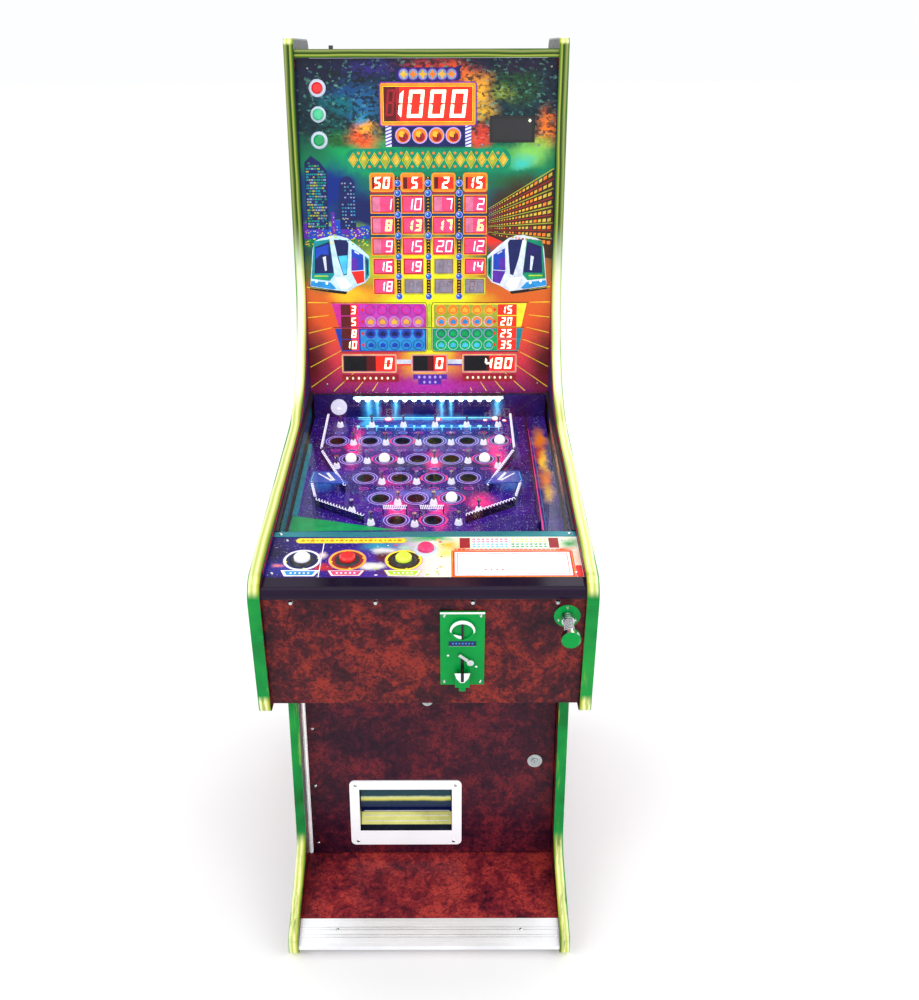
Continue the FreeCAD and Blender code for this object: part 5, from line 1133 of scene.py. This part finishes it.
def title_band():
    """Ornament strip where the machine's name would be."""
    art = Sheet("head_title_band", head, "head_print")
    art.add("jade", rect(-153, 423, 155, 464, 19), 0.05)
    for step in range(15):
        x = -138 + 19.9 * step
        tall = 16.5 if step % 2 else 13.5
        outer = [(x - 9.4, 444), (x, 444 + tall), (x + 9.4, 444), (x, 444 - tall)]
        inner = [(x - 7, 444), (x, 444 + tall - 3.4), (x + 7, 444), (x, 444 - tall + 3.4)]
        art.add("lime", outer, 0.16)
        art.add("maroon", [(x + (a - x) * 0.86, 444 + (b - 444) * 0.86) for a, b in outer], 0.27)
        art.add("olive" if step % 2 else "gold", inner, 0.38)
        art.add("amber", [(x - 4, 446), (x, 444 + tall * 0.5), (x + 4, 446), (x, 443)], 0.49)
        if step < 14:
            art.add("orange", disc(x + 9.95, 456, 2.4, 1, 14), 0.5)
            art.add("orange", disc(x + 9.95, 432, 2.4, 1, 14), 0.5)
    art.build()


GRID = [
    # value per column, style
    (("50", "5", "2", "15"), "bonus"),
    (("1", "10", "7", "2"), "thin"),
    (("8", "13", "17", "6"), "bold"),
    (("9", "15", "20", "12"), "thin"),
    (("16", "19", "", "14"), "mid"),
    (("18", "", "", ""), "mid"),
]
ROW_SPANS = [(386, 420), (347, 381), (308, 342), (269, 303), (232, 264), (194, 226)]
COLUMNS = [(-109, -62), (-51, -6), (7, 52), (66, 112)]


def number_grid():
    art = Sheet("head_number_grid", head, "head_print")
    art.add("maroon", rect(-108, 383, 111, 386), 0.03)
    for (values, style), (low, high) in zip(GRID, ROW_SPANS):
        inset = {"bonus": 0, "thin": 1, "bold": 1, "mid": 2.5}[style]
        for value, (left, right) in zip(values, COLUMNS):
            x0, x1 = left + inset, right - inset
            lit = bool(value)
            if style == "bonus":
                art.add("orange", rect(x0, low, x1, high + 1, 6), 0.05)
                art.add("amber", border(x0 + 1.2, low + 1.2, x1 - 1.2, high - 0.2, 1.0, 5), 0.16)
                art.add("lit_red", rect(x0 + 9, low + 6, x1 - 4, high - 7), 0.18)
                art.add("dark_red", rect(x0 + 5, low + 6, x0 + 13 - 4 * (len(value) - 1), high - 7), 0.2)
            else:
                edge = "amber" if lit else "lime"
                art.add("red" if lit else "gold", rect(x0, low, x1, high), 0.05)
                art.add(edge, border(x0, low, x1, high, 1.3), 0.16)
                art.add("dark_red", border(x0 + 2.6, low + 2.6, x1 - 2.6, high - 2.6, 1.0), 0.16)
                inside = rect(x0 + 3.6, low + 3.6, x1 - 3.6, high - 3.6)
                art.add("lit_pink" if lit else "grey", inside, 0.18)
                if lit and (style == "thin" or style == "bold") and len(value) == 1:
                    art.add("rose", rect(x0 + 3.6, low + 3.6, x0 + 18, high - 3.6), 0.2)
                if not lit:
                    for k in (0, 1):
                        ghost = digit("8", x0 + 9 + 15 * k, low + 6.5, 10, high - low - 13, 1.6)
                        art.add("rose", ghost, 0.22, 0.06)
            if not lit:
                continue
            thick = {"bonus": 3.6, "thin": 1.9, "bold": 4.0, "mid": 2.4}[style]
            light = {"bonus": "cream", "thin": "white", "bold": "yellow", "mid": "white"}[style]
            tall = high - low - 13
            end = x1 - 4.0 if style != "bonus" else x1 - 8 - (2 - len(value)) * 3
            art.add(f"lit_{light}", number(value, end, low + 6.5, tall * 0.58, tall, thick), 0.33)
    for x in (-56.5, 0.5, 59):
        art.add("black", rect(x - 4, 196, x + 4, 414), 0.03, 0.08)
        for low, high in ROW_SPANS:
            for k in range(4):
                y = low + 5 + (high - low - 12) * k / 3.4
                art.add("amber", [(x - 2.6, y), (x, y + 3.4), (x + 2.6, y), (x, y + 1.2)], 0.16)
        for y in (402, 384, 344.5, 305.5, 266.5, 229, 190.5):
            art.add("blue", disc(x, y, 6.4), 0.27)
            art.add("lilac", ring(x, y, 6.4, 5.2), 0.38)
            art.add("sky", disc(x - 1, y + 1, 3.0), 0.38)
            art.add("white", disc(x - 1.8, y + 1.8, 1.0), 0.46)
    art.build()


def pay_table():
    art = Sheet("head_pay_table", head, "head_print")
    quarters = [
        ("magenta", "orchid", [(-188, 177), (-175, 129), (-5, 129), (-5, 170), (-9, 176)], -1),
        ("blue", "sky", [(-184, 128), (-172, 83), (-9, 83), (-5, 87), (-5, 128)], -1),
        ("yellow", "olive", [(190, 177), (180, 129), (7, 129), (7, 170), (11, 176)], 1),
        ("teal", "green", [(184, 128), (176, 83), (11, 83), (7, 87), (7, 128)], 1),
    ]
    for edge, inner, outline, side in quarters:
        art.add(edge, outline, 0.05)
        low, high = min(y for x, y in outline), max(y for x, y in outline)
        left, right = (-134, -8) if side < 0 else (10, 134)
        art.add(inner, rect(left, low + 1.5, right, high - 2.5, 3), 0.16)
    lines = [
        [(-190, 178.5), (-6, 178.5), (-3.5, 172), (-3.5, 131)],
        [(5.5, 131), (5.5, 172), (8, 178.5), (192, 178.5)],
        [(-186, 130), (186, 130)],
        [(-175, 81.5), (-8, 81.5), (-3.5, 86), (-3.5, 128)],
        [(178, 81.5), (10, 81.5), (5.5, 86), (5.5, 128)],
    ]
    for loop in lines:
        art.add("black", stroke(loop, 1.2), 0.2)
    art.add("lime", rect(-2.4, 84, 4.2, 177), 0.16)
    rows = [
        # height, pays, then rim, fill and spot inks of the left and of the right discs
        (164.5, "3", "15", ("violet", "magenta", "orchid"), ("gold", "orange", "amber")),
        (141.5, "5", "20", ("lilac", "mauve", "amber"), ("silver", "orange", "sky")),
        (118, "8", "25", ("violet", "blue", "navy"), ("lilac", "jade", "green")),
        (95.5, "10", "35", ("navy", "sky", "blue"), ("ice", "green", "cyan")),
    ]
    for y, left, right, left_inks, right_inks in rows:
        art.add("dark_red", rect(-171, y - 10.5, -152, y + 10.5), 0.2)
        art.add("lit_red", rect(-152, y - 10.5, -138, y + 10.5), 0.2)
        art.add("lit_red", rect(134, y - 10.5, 171, y + 10.5), 0.2)
        art.add("lit_cream", number(left, -141, y - 8, 9.2, 16, 2.7), 0.33)
        art.add("lit_cream", number(right, 163, y - 8, 9.2, 16, 2.7), 0.33)
        for k in range(5):
            for x, (rim, fill, dot) in ((-114 + 23.3 * k, left_inks), (24 + 23.3 * k, right_inks)):
                art.add(fill, disc(x, y, 9.0), 0.27)
                art.add(rim, ring(x, y, 10.2, 9.2), 0.33)
                shape = [(x - 5, y - 4), (x + 5, y - 5), (x + 6, y + 1), (x, y + 5), (x - 5, y + 1)]
                art.add(dot, shape, 0.38)
        art.add("red", [(-133, y), (-127, y + 5), (-127, y - 5)], 0.33)
        art.add("red", [(132, y), (126, y - 5), (126, y + 5)], 0.33)
    art.build()


def score_windows():
    """Three lit score windows along the foot, with dotted plates under them."""
    art = Sheet("head_score_windows", head, "head_print")
    art.add("silver", rect(-64, 56, -36, 66), 0.03)
    art.add("red", rect(-64, 54, -36, 57), 0.14)
    art.add("silver", rect(37, 56, 65, 66), 0.03)
    art.add("violet", rect(37, 54, 65, 57), 0.14)
    for (left, right), text in (((-173, -64), "0"), ((-36, 37), "0"), ((65, 173), "480")):
        art.add("rose", rect(left, 39, right, 77, 3), 0.05)
        art.add("yellow", border(left + 1, 40, right - 1, 76, 1.0, 2.5), 0.16)
        width = right - left
        art.add("black", rect(left + 4, 43, left + width * 0.45, 73.5), 0.18)
        art.add("dark_red", rect(left + width * 0.45, 43, left + width * 0.62, 73.5), 0.18)
        start = left + width * (0.62 if text == "0" else 0.5)
        art.add("lit_red", rect(start, 43, right - 4, 73.5), 0.22)
        art.add("lit_cream", number(text, right - 8, 47, 14.5, 22.5, 3.9), 0.36)
    for x0, x1, low in ((-173, -61, 21), (66, 172, 22)):
        art.add("maroon", rect(x0, low, x1, 36, 2), 0.05)
        for k in range(9):
            x = x0 + 10 + (x1 - x0 - 20) * k / 8
            art.add("cream", disc(x, low + 7.4, 2.2, 1.3), 0.16)
    plate = [(-32, 36), (-32, 26), (-22, 26), (-22, 15), (24, 15), (24, 26), (35, 26), (35, 36)]
    art.add("violet", plate, 0.05)
    for k in range(5):
        art.add("lilac", disc(-20 + 10.5 * k, 30.5, 2.4, 1.2), 0.16)
    for k in range(3):
        art.add("lilac", disc(-10 + 11 * k, 20, 2.2, 1.2), 0.16)
    art.build()


towers()
lattice()
train("head_train_left", False, "ice", "teal", "cyan", "blue", "red")
train("head_train_right", True, "silver", "jade", "navy", "deep", "violet")
rays()
bonus_display()
title_band()
number_grid()
pay_table()
score_windows()
LENS_PROFILE = [(2.3, -3), (2.3, 0.5), (1.6, 1.6), (0.5, 2.0)]
turned("meter_led_lens", LENS_PROFILE, [(189, 512.5, -2.2)], head, LED_DOT, "led_cyan")


# ------------------------------------------------------------------ playfield

HOLE_PITCH, ROW_PITCH, FIRST_ROW, FIELD_X = 62.5, 74.5, 289, -20
LAMPS = [-141 + 18.5 * number for number in range(16)]
FENCES = [
    ((181, 676), (181, 528)), ((179, 518), (126, 384)), ((186, 398), (174, 344)), ((172, 336), (86, 280)),
]


def catch_holes():
    return [
        (FIELD_X + HOLE_PITCH * (n - (row + 1) / 2), FIRST_ROW + ROW_PITCH * row, row)
        for row in range(5) for n in range(row + 2)
    ]


def field_print():
    art = Sheet("field_rings", field, "field_print")
    for order, (x, y, row) in enumerate(catch_holes()):
        pink = order % 3 == 1
        art.add("navy", ring(x, y, 15.6, 13.6), 0.05)
        art.add("lit_lilac", ring(x, y, 17.4, 16.2), 0.07)
        art.add("violet", ring(x, y, 20.2, 17.4), 0.05)
        art.add("lit_magenta" if pink else "lit_lilac", ring(x, y, 22.4, 21.2), 0.07)
        for side in (-1, 1):
            near = [(x + side * 22.4 * math.cos(t), y + 22.4 * math.sin(t)) for t in (-0.5, 0, 0.5)]
            far = [(x + side * 25.6 * math.cos(t), y + 21.6 * math.sin(t)) for t in (-0.36, 0, 0.36)]
            art.add("pink" if pink else "blue", band(near, far)[:2], 0.05)
    for row in range(5):
        y = FIRST_ROW + ROW_PITCH * row + ROW_PITCH * 0.5 - 2
        for n in range(2 * row + 5):
            x = FIELD_X + HOLE_PITCH / 2 * (n - (2 * row + 4) / 2)
            if abs(x - FIELD_X) > 165:
                continue
            shade = "lit_lilac" if n % 2 else "lit_magenta"
            art.add(shade, ring(x, y, 8.6, 7.6, 0.55, 24), 0.05)
            art.add("blue" if n % 2 else "violet", disc(x, y, 6.4, 0.5, 20), 0.05)
    art.build()
    strips = Sheet("field_borders_and_lamp_glow", field, "field_print")
    strips.add("green", [(-230, 252), (-44, 257), (-70, 262), (-229, 304)], 0.05)
    strips.add("teal", [(-230.5, 306), (-222, 304), (-224, 575), (-230.5, 575)], 0.05)
    strips.add("sky", stroke([(-221, 300), (-223, 560)], 0.8), 0.06)
    strips.add("lit_magenta", stroke([(195.5, 255), (194, 640)], 2.6, 1.6), 0.05)
    strips.add("sky", stroke([(201, 255), (199, 600)], 1.0), 0.05)
    # painted light: glowing lines along the lamp strip, a pool of light under each lamp and a streak down
    # from it
    for y, thick in ((691, 2.4), (684, 1.2), (646, 0.7)):
        strips.add("lit_cyan", stroke([(-143, y), (138, y)], thick), 0.05)
    for k, x in enumerate(LAMPS):
        strips.add("lit_cyan", disc(x, 652, 3.6 + 1.2 * math.sin(3 * k), 0.9, 16), 0.06)
        strips.add("lit_azure", stroke([(x, 650), (x, 634 + 4 * math.sin(2 * k))], 2.4, 1.0), 0.05)
    # painted highlights: pink glints with white hearts near the lamp strip
    for x, y, reach in ((-82, 684, 9), (17, 682, 7), (133, 686, 10), (112, 678, 5), (150, 676, 5)):
        strips.add("lit_pink", disc(x, y, reach, 1.15, 18), 0.07)
        strips.add("lit_white", disc(x - 1, y + 1, reach * 0.7, 1.1, 16), 0.2)
    strips.build()
    arrows = Sheet("corner_plastic_arrows", shifted(deck, z=-37.5), "field_print")
    for side in (-1, 1):
        c = FIELD_X
        arrows.add("white", stroke([(c + side * 160, 426), (c + side * 146, 398)], 5, 5.6), 0.05)
        arrows.add("white", stroke([(c + side * 176, 424), (c + side * 150, 397)], 2.6, 4.6), 0.05)
        arrows.add("cyan", stroke([(c + side * 184, 428), (c + side * 187, 396)], 1.2), 0.05)
    arrows.build()


def fence_coils():
    """Bright coil wire wound along the top of each fence, and round the two gates."""
    paths = []
    for (x0, y0), (x1, y1) in FENCES:
        for side in (-1, 1):
            start = (FIELD_X + side * x0, y0, 15.5)
            end = (FIELD_X + side * x1, y1, 15.5)
            length = math.hypot(x1 - x0, y1 - y0)
            paths.append(coil(start, end, 1.9, length / 6.4))
    for x in (-34.5, 28.5):
        paths.append(coil((FIELD_X + x - 20, 306, 16), (FIELD_X + x + 20, 306, 16), 3.4, 13))
    # painted light: the coil wire glows, for its brightness
    bright = plain("coil_wire", (0.86, 0.82, 0.95), 0.2, vary=0.05, glow=0.9)
    tube("field_coil_wires", paths, 0.6, field, bright, 6, "bright_chrome")


field_print()
fence_coils()


def back_wall():
    """Print on the wall behind the field, with the lamp strip's beams painted onto it as light, and the
    lamps' lenses.
    """
    wall = shifted(deck, y=694) @ Matrix.Rotation(math.radians(90), 4, "X")
    # painted light: beams from the lamp strip, as lighter clouds over the wall's dark print
    beams = [((-2, -4), (230, 26), (0.008, 0.05, 0.22)), ((-2, -60), (190, 14), (0.01, 0.16, 0.42))]
    for x, width in ((-121, 15), (-104, 8), (-68, 9), (24, 9), (43, 6), (136, 12)):
        beams.append(((x, -34), (width * 1.4, 46), (0.02, 0.22, 0.48)))
        beams.append(((x, -24), (width * 0.6, 44), (0.14, 0.62, 0.85)))
    art = Sheet("back_wall_print_and_glow", wall, "field_print")
    art.add(soft_print("back_wall_ink_and_glow", (0.008, 0.005, 0.09), beams, 0.7), rect(-230.5, -63, 230.5, -5.5))
    art.build()
    cap_profile = [(4.6, 0.0), (4.7, 1.2), (3.9, 2.8), (2.2, 3.7), (0.3, 4.0)]
    turned("led_lens_caps", cap_profile, [(x, -9, 16) for x in LAMPS], wall, LED, "led_cyan")
    line = Sheet("led_strip_diffuser", shifted(wall, z=10), "led_cyan")
    line.add(LED_SOFT, rect(-151, -11.6, 147, -5.4, 2.5), 0.02, 0.5)
    line.build()


back_wall()


# ------------------------------------------------------------------ control panel


def label_plate(art, x, edge, fill):
    """Small plate under a button, with dots in the place of a word."""
    art.add(edge, [(x - 29, 52), (x - 22, 36), (x + 22, 36), (x + 29, 52)], 0.1)
    art.add("white", [(x - 27, 50.8), (x - 20.8, 37.2), (x + 20.8, 37.2), (x + 27, 50.8)], 0.2)
    art.add(fill, [(x - 23.5, 49.6), (x - 18.6, 38.6), (x + 18.6, 38.6), (x + 23.5, 49.6)], 0.3)
    for k in range(5):
        art.add("white", disc(x - 13 + 6.5 * k, 44, 1.7, 1.2, 14), 0.4)


def control_print():
    art = Sheet("deck_graphics", deck, "deck_print")
    buttons = [(-184.5, 80, "white", "navy"), (-116, 80, "amber", "maroon"), (-31, 79, "yellow", "umber")]
    for x, y, outer, inner in buttons:
        art.add(outer, ring(x, y, 28, 24.6), 0.1)
        art.add(inner, ring(x, y, 24.6, 19.2), 0.08)
        art.add("lilac" if x < -150 else "rose", ring(x, y, 29, 28), 0.1)
        for k in (0, 90, 180, 270):
            angle = math.radians(k + 12)
            art.add("yellow", disc(x + 24 * math.cos(angle), y + 24 * math.sin(angle), 1.5, 1, 12), 0.24)
    label_plate(art, -184.5, "white", "sky")
    label_plate(art, -116, "maroon", "pink")
    label_plate(art, -31, "gold", "lime")
    art.add("white", rect(-156.5, 33, -155.2, 132), 0.06)
    # ornament capsule
    art.add("gold", rect(-200, 127.5, -28, 142.5, 7), 0.1)
    art.add("yellow", rect(-198, 129.3, -30, 140.7, 5.5), 0.2)
    for k in range(11):
        x = -189 + 15 * k
        art.add("orange", star(x, 135, 5.2), 0.3)
        if k < 10:
            art.add("maroon", disc(x + 7.5, 135, 1.5, 1, 12), 0.3)
    # loose confetti about the middle
    for k in range(46):
        x, y = rng.uniform(-88, 30), rng.uniform(36, 140)
        shade = rng.choice(["white", "cyan", "amber", "rose", "lime", "silver", "red"])
        clear = all(math.hypot(x - bx, y - by) > 29 for bx, by in ((-31, 79), (-116, 80), (2, 107)))
        if clear and not (y > 122 and x < -24) and not (y < 54 and abs(x + 31) < 31):
            art.add(shade, disc(x, y, rng.uniform(1.0, 3.4), rng.uniform(0.4, 1), 14), 0.06, 0.05)
    # instruction card, left blank but for rules and dots
    art.add("red", rect(41, 31.6, 226, 106, 3), 0.08)
    art.add("amber", border(42.5, 33, 224.5, 104.6, 0.9, 2.6), 0.2)
    art.add("white", rect(46, 36.5, 221, 101, 1.5), 0.2)
    art.add("red", border(50, 40, 217, 97.5, 0.8), 0.32)
    for k, width in enumerate((8, 5, 14)):
        art.add("grey", rect(55, 86 - 11 * k, 55 + width, 87 - 11 * k), 0.32, 0.05)
    for k in range(5):
        art.add("grey", rect(82, 88 - 7 * k, 82 + (104, 112, 92, 116, 60)[k], 88.5 - 7 * k), 0.32, 0.03)
    for k in range(4):
        art.add("red", disc(92 + 8.5 * k, 52, 1.4, 1, 12), 0.32)
    art.add("red", rect(226.5, 33, 236, 64, 2), 0.1)
    art.add("red", rect(46, 107.5, 212, 110.2), 0.1)
    for k in range(24):
        art.add("white", disc(50 + 6.8 * k, 108.9, 0.8, 1, 8), 0.2, 0.05)
    # small copy of the pay table
    art.add("maroon", rect(54, 113, 70, 142), 0.1)
    art.add("maroon", rect(192, 113, 207, 142), 0.1)
    for x0, top, low in ((72, "rose", "cyan"), (132, "yellow", "green")):
        art.add("white", rect(x0, 113, x0 + 58, 142), 0.1)
        for row in range(4):
            for k in range(8):
                x, y = x0 + 4 + 7.1 * k, 138.2 - 7.2 * row
                art.add(top if row < 2 else low, disc(x, y, 2.6, 1, 14), 0.2)
                art.add("white", disc(x - 0.5, y + 0.7, 0.9, 1, 8), 0.3, 0.05)
    art.build()


control_print()


# ------------------------------------------------------------------ side cheeks above the deck


def inner_wall(side):
    """Frame on a side panel's inner face: X towards or away from the player, Y up, Z to the middle."""
    return Matrix(((0, 0, -side, side * INNER_HALF), (-side, 0, 0, 0), (0, 1, 0, 0), (0, 0, 0, 1)))


def side_linings():
    """Print on the side walls under the glass: teal at the left, dusk with warm lights at the right."""
    lights = [((460, -30), (90, 34), (0.75, 0.30, 0.02)), ((560, -34), (70, 34), (0.60, 0.04, 0.02)),
              ((620, -26), (50, 30), (0.70, 0.40, 0.02)), ((390, -34), (60, 30), (0.60, 0.10, 0.03))]
    dusk = [((300, -50), (300, 60), (0.0, 0.10, 0.16)), ((600, -20), (120, 40), (0.02, 0.02, 0.14))]
    sides = [(-1, "left", (0.0, 0.06, 0.10), dusk), (1, "right", (0.02, 0.008, 0.10), lights)]
    for side, label, ground, blobs in sides:
        blobs = [((-side * x, y), reach, colour) for (x, y), reach, colour in blobs]
        art = Sheet(f"field_lining_{label}", deck @ inner_wall(side), "field_print")
        # the linings' glow is painted light
        paint = soft_print(f"field_lining_ink_{label}", ground, blobs, 0.5)
        art.add(paint, [(-side * x, y) for x, y in rect(162, -54.5, 693.5, -9.5)], 0.05, 0.3)
        art.build()


side_linings()


def cheek_outline(low, inset):
    """Top edge of a side panel's lining, from above the deck up along the head, as (y, z)."""
    slope = math.atan2(deck[2][1], deck[1][1])
    radius, head_front = 240.0, 259.0
    top = 15 - inset

    def at(along, lift):
        point = deck @ Vector((0, along * MM, lift * MM))
        return point.y / MM, point.z / MM

    upper = [at(31, low), at(31, top)]
    corner_y = head_front + inset
    corner_z = at((head_front - at(0, 0)[0]) / math.cos(slope), top)[1]
    turn = math.pi / 2 - slope
    tangent = radius * math.tan(turn / 2)
    start = (corner_y - tangent * math.cos(slope), corner_z - tangent * math.sin(slope))
    centre = (start[0] - math.sin(slope) * radius, start[1] + math.cos(slope) * radius)
    for step in range(13):
        angle = -math.pi / 2 + slope + turn * step / 12
        upper.append((centre[0] + radius * math.cos(angle), centre[1] + radius * math.sin(angle)))
    return upper, at


def cheeks():
    """Dark inner linings of the side panels, with a red pinstripe under the moulding."""
    lining = ink("cheek_lining", (0.02, 0.008, 0.08), 0.25, 0.5)
    red = ink("cheek_pinstripe", (0.55, 0.01, 0.03), 0.2)
    for side, label in ((-1, "left"), (1, "right")):
        art = Sheet(f"cheek_lining_{label}", inner_wall(side), "field_print")
        upper, at = cheek_outline(-2, 3.5)
        stripe_low, _ = cheek_outline(-2, 7.5)
        glass_low = (head.translation.y / MM, head.translation.z / MM)
        glass_high = tuple(c / MM for c in (head @ Vector((0, 0.60, 0)))[1:])
        front_y = at(0, 0)[0]

        def foot(point):
            return at((point[0] - front_y) / DECK_COSINE, -2)

        def lay(material, points, low, thick):
            art.add(material, [(-side * y, z) for y, z in points], low, thick)

        pairs = list(zip(stripe_low[1:], upper[1:]))
        for (a, b), (c, d) in zip(pairs, pairs[1:]):
            lay(red, [a, c, d, b], 0.5, 0.15)
            lay(lining, [foot(a), foot(c), d, b], 0.2, 0.25)
        last = upper[-1]
        edge = (glass_high[0] - 0.5, glass_high[1])
        lay(lining, [foot(last), glass_low, edge, (last[0], glass_high[1]), last], 0.2, 0.25)
        art.build()


cheeks()


# ------------------------------------------------------------------ front of the machine


def coin_details():
    """Chrome crescents, label, slots and screws on the coin faceplate, and a painted highlight along its top
    edge.
    """
    art = Sheet("coin_plate_trim", shifted(apron, z=4), "bright_chrome")
    left, right, high = 24.0, 90.0, 173.5
    # painted highlight: a white bar along the plate's top edge
    art.add("white", rect(left - 0.2, high - 2.4, right + 0.2, high + 0.4, 1.2), 0.1, 0.5)
    art.add("navy", rect(36.6, 112, 77.4, 121.4), -0.95, 0.5)
    art.add("white", rect(36.6, 110.2, 77.4, 111.6), -0.95, 0.5)
    for k in range(7):
        art.add("sky", disc(43 + 4.8 * k, 116.7, 1.2, 1.2, 12), -0.45, 0.12)
    arc = [math.radians(-8 + 12 * k) for k in range(17)]
    crescent = [(57 + 18.8 * math.cos(a), 143.5 + 18.8 * math.sin(a)) for a in arc]
    crescent += [(57 + 16.4 * math.cos(a), 140.6 + 15.2 * math.sin(a)) for a in reversed(arc)]
    art.add(CHROME, crescent, 3.9, 0.7)
    arc = [math.radians(205 + 11 * k) for k in range(7)]
    shine = [(57 + 15.2 * math.cos(a), 143.5 + 15.2 * math.sin(a)) for a in arc]
    art.add(CHROME, [*shine, (56, 133.5)], 3.9, 0.3)
    art.add("black", rect(55.4, 127, 58.6, 158), 4.0, 0.5)
    for x, y in ((35.5, 95), (78, 74)):
        art.add(CHROME, disc(x, y, 1.8, 1, 16), 0.02, 0.4)
    art.add(CHROME, [(45, 70), (69, 70), (66, 60), (60, 52), (54, 52), (48, 60)], 11.1, 0.5)
    art.add("black", rect(54.4, 70, 59.6, 92), 0.02, 0.12)
    art.add("black", rect(54.6, 53.5, 59.4, 70.5), 11.5, 0.3)
    art.build()


def kick_screws():
    """Two screws and the brushed grooves on the kick plate."""
    head_shape = [(3.4, -0.4), (3.4, 0.4), (2.8, 1.0), (1.2, 1.4), (0.2, 1.45)]
    turned("kick_plate_screws", head_shape, [(-168, 30, 0), (168, 30, 0)], kick, CHROME, "bright_chrome")
    grooves = Sheet("kick_plate_grooves", kick, "brushed_aluminium")
    for k in range(9):
        y = 7 + 4.6 * k
        metal, width = (ZINC, 0.7) if k in (2, 3, 5, 6) else (ALUMINIUM, 2.4)
        grooves.add(metal, rect(-235, y, 235, y + width), -0.05, 0.3)
    grooves.build()


def payout_details():
    """Gold-washed tray floor with a painted glow, painted shade deeper in, and the ledge lines seen inside
    the payout mouth.
    """
    # painted light: the gold glows
    gold = plain("tray_gold", (0.74, 0.70, 0.22), 0.3, metal=0.3, vary=0.4, glow=0.5)
    left, right = -134.8, 41.8
    floor = Matrix.Translation((0, door.translation.y + 0.012, door.translation.z + 0.0552))
    slope = Matrix.Rotation(math.atan2(26, 66.5), 4, "X")
    tray = Sheet("payout_tray_lining", floor @ slope, "zinc_steel", "front_door")
    tray.add(gold, rect(left, 2, right, 30), 0.2, 0.3)
    # painted shade: navy over the tray floor deeper in the mouth
    tray.add("navy", rect(left, 30, right, 66), 0.2, 0.3)
    for y in (9, 20, 31, 62):
        tray.add(SATIN, rect(left + 4, y, right - 4, y + 1.6), 0.5, 0.4)
    tray.build()


coin_details()
kick_screws()
payout_details()


# ------------------------------------------------------------------ stage, light and camera


def stage():
    """White floor and sky, with four soft lamps aimed at the machine."""
    p = Paint("studio_floor")
    fleck = p.noise(p.place, 3, 4)
    pale = p.ramp(fleck, (0.3, (0.93, 0.93, 0.935)), (0.7, (0.95, 0.95, 0.95)))
    p.set(Base_Color=pale, Roughness=0.8, Specular_IOR_Level=0.1)
    p.set(Emission_Color=pale, Emission_Strength=0.08)
    corners = [(-30, -30, 0), (30, -30, 0), (30, 60, 0), (-30, 60, 0)]
    mesh = new_mesh("studio_floor", corners, [(0, 1, 2, 3)])
    mesh.materials.append(p.material)
    floor = bpy.data.objects.new("studio_floor", mesh)
    bpy.context.scene.collection.objects.link(floor)
    world = bpy.data.worlds.new("studio")
    world.use_nodes = True
    background = world.node_tree.nodes["Background"]
    background.inputs[0].default_value = (0.985, 0.99, 1.0, 1)
    background.inputs[1].default_value = 1.0
    bpy.context.scene.world = world
    lamps = [
        # name, place, size, power
        ("softbox_left", (-2.2, -2.6, 2.6), 1.8, 26),
        ("softbox_right", (2.4, -2.0, 2.2), 1.6, 18),
        ("softbox_top", (0.0, -0.4, 3.6), 2.2, 14),
        ("softbox_back", (0.5, 3.0, 2.6), 2.0, 18),
    ]
    for name, place, size, power in lamps:
        light = bpy.data.lights.new(name, "AREA")
        light.size = size
        light.energy = power
        lamp = bpy.data.objects.new(name, light)
        lamp.location = place
        lamp.rotation_euler = (Vector((0, 0, 0.8)) - Vector(place)).to_track_quat("-Z", "Y").to_euler()
        bpy.context.scene.collection.objects.link(lamp)


def camera():
    """The photograph's view: a 40 mm lens nearly 2 metres away, looking 22 degrees down."""
    lens = bpy.data.cameras.new("camera")
    lens.sensor_width = 36
    lens.lens = 40.09
    lens.shift_x = 0.0135
    eye = bpy.data.objects.new("camera", lens)
    eye.location = (0.0349, -1.8801, 1.535)
    eye.rotation_euler = (math.radians(90 - 22.01), math.radians(0.163), 0)
    bpy.context.scene.collection.objects.link(eye)
    bpy.context.scene.camera = eye
    bpy.context.scene.view_settings.view_transform = "Standard"


def return_spring():
    """The plunger's return spring."""
    wound = coil((210.5, 41.9, -45), (210.5, 107.3, -45), 5.3, 11, 14)
    wound = [wound[0], *wound, wound[-1]]
    spring = tube("plunger_return_spring", [wound], 0.62, deck, SPRING, 8, "spring_steel")
    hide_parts("plunger_spring")
    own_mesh(spring)


return_spring()
stage()
camera()
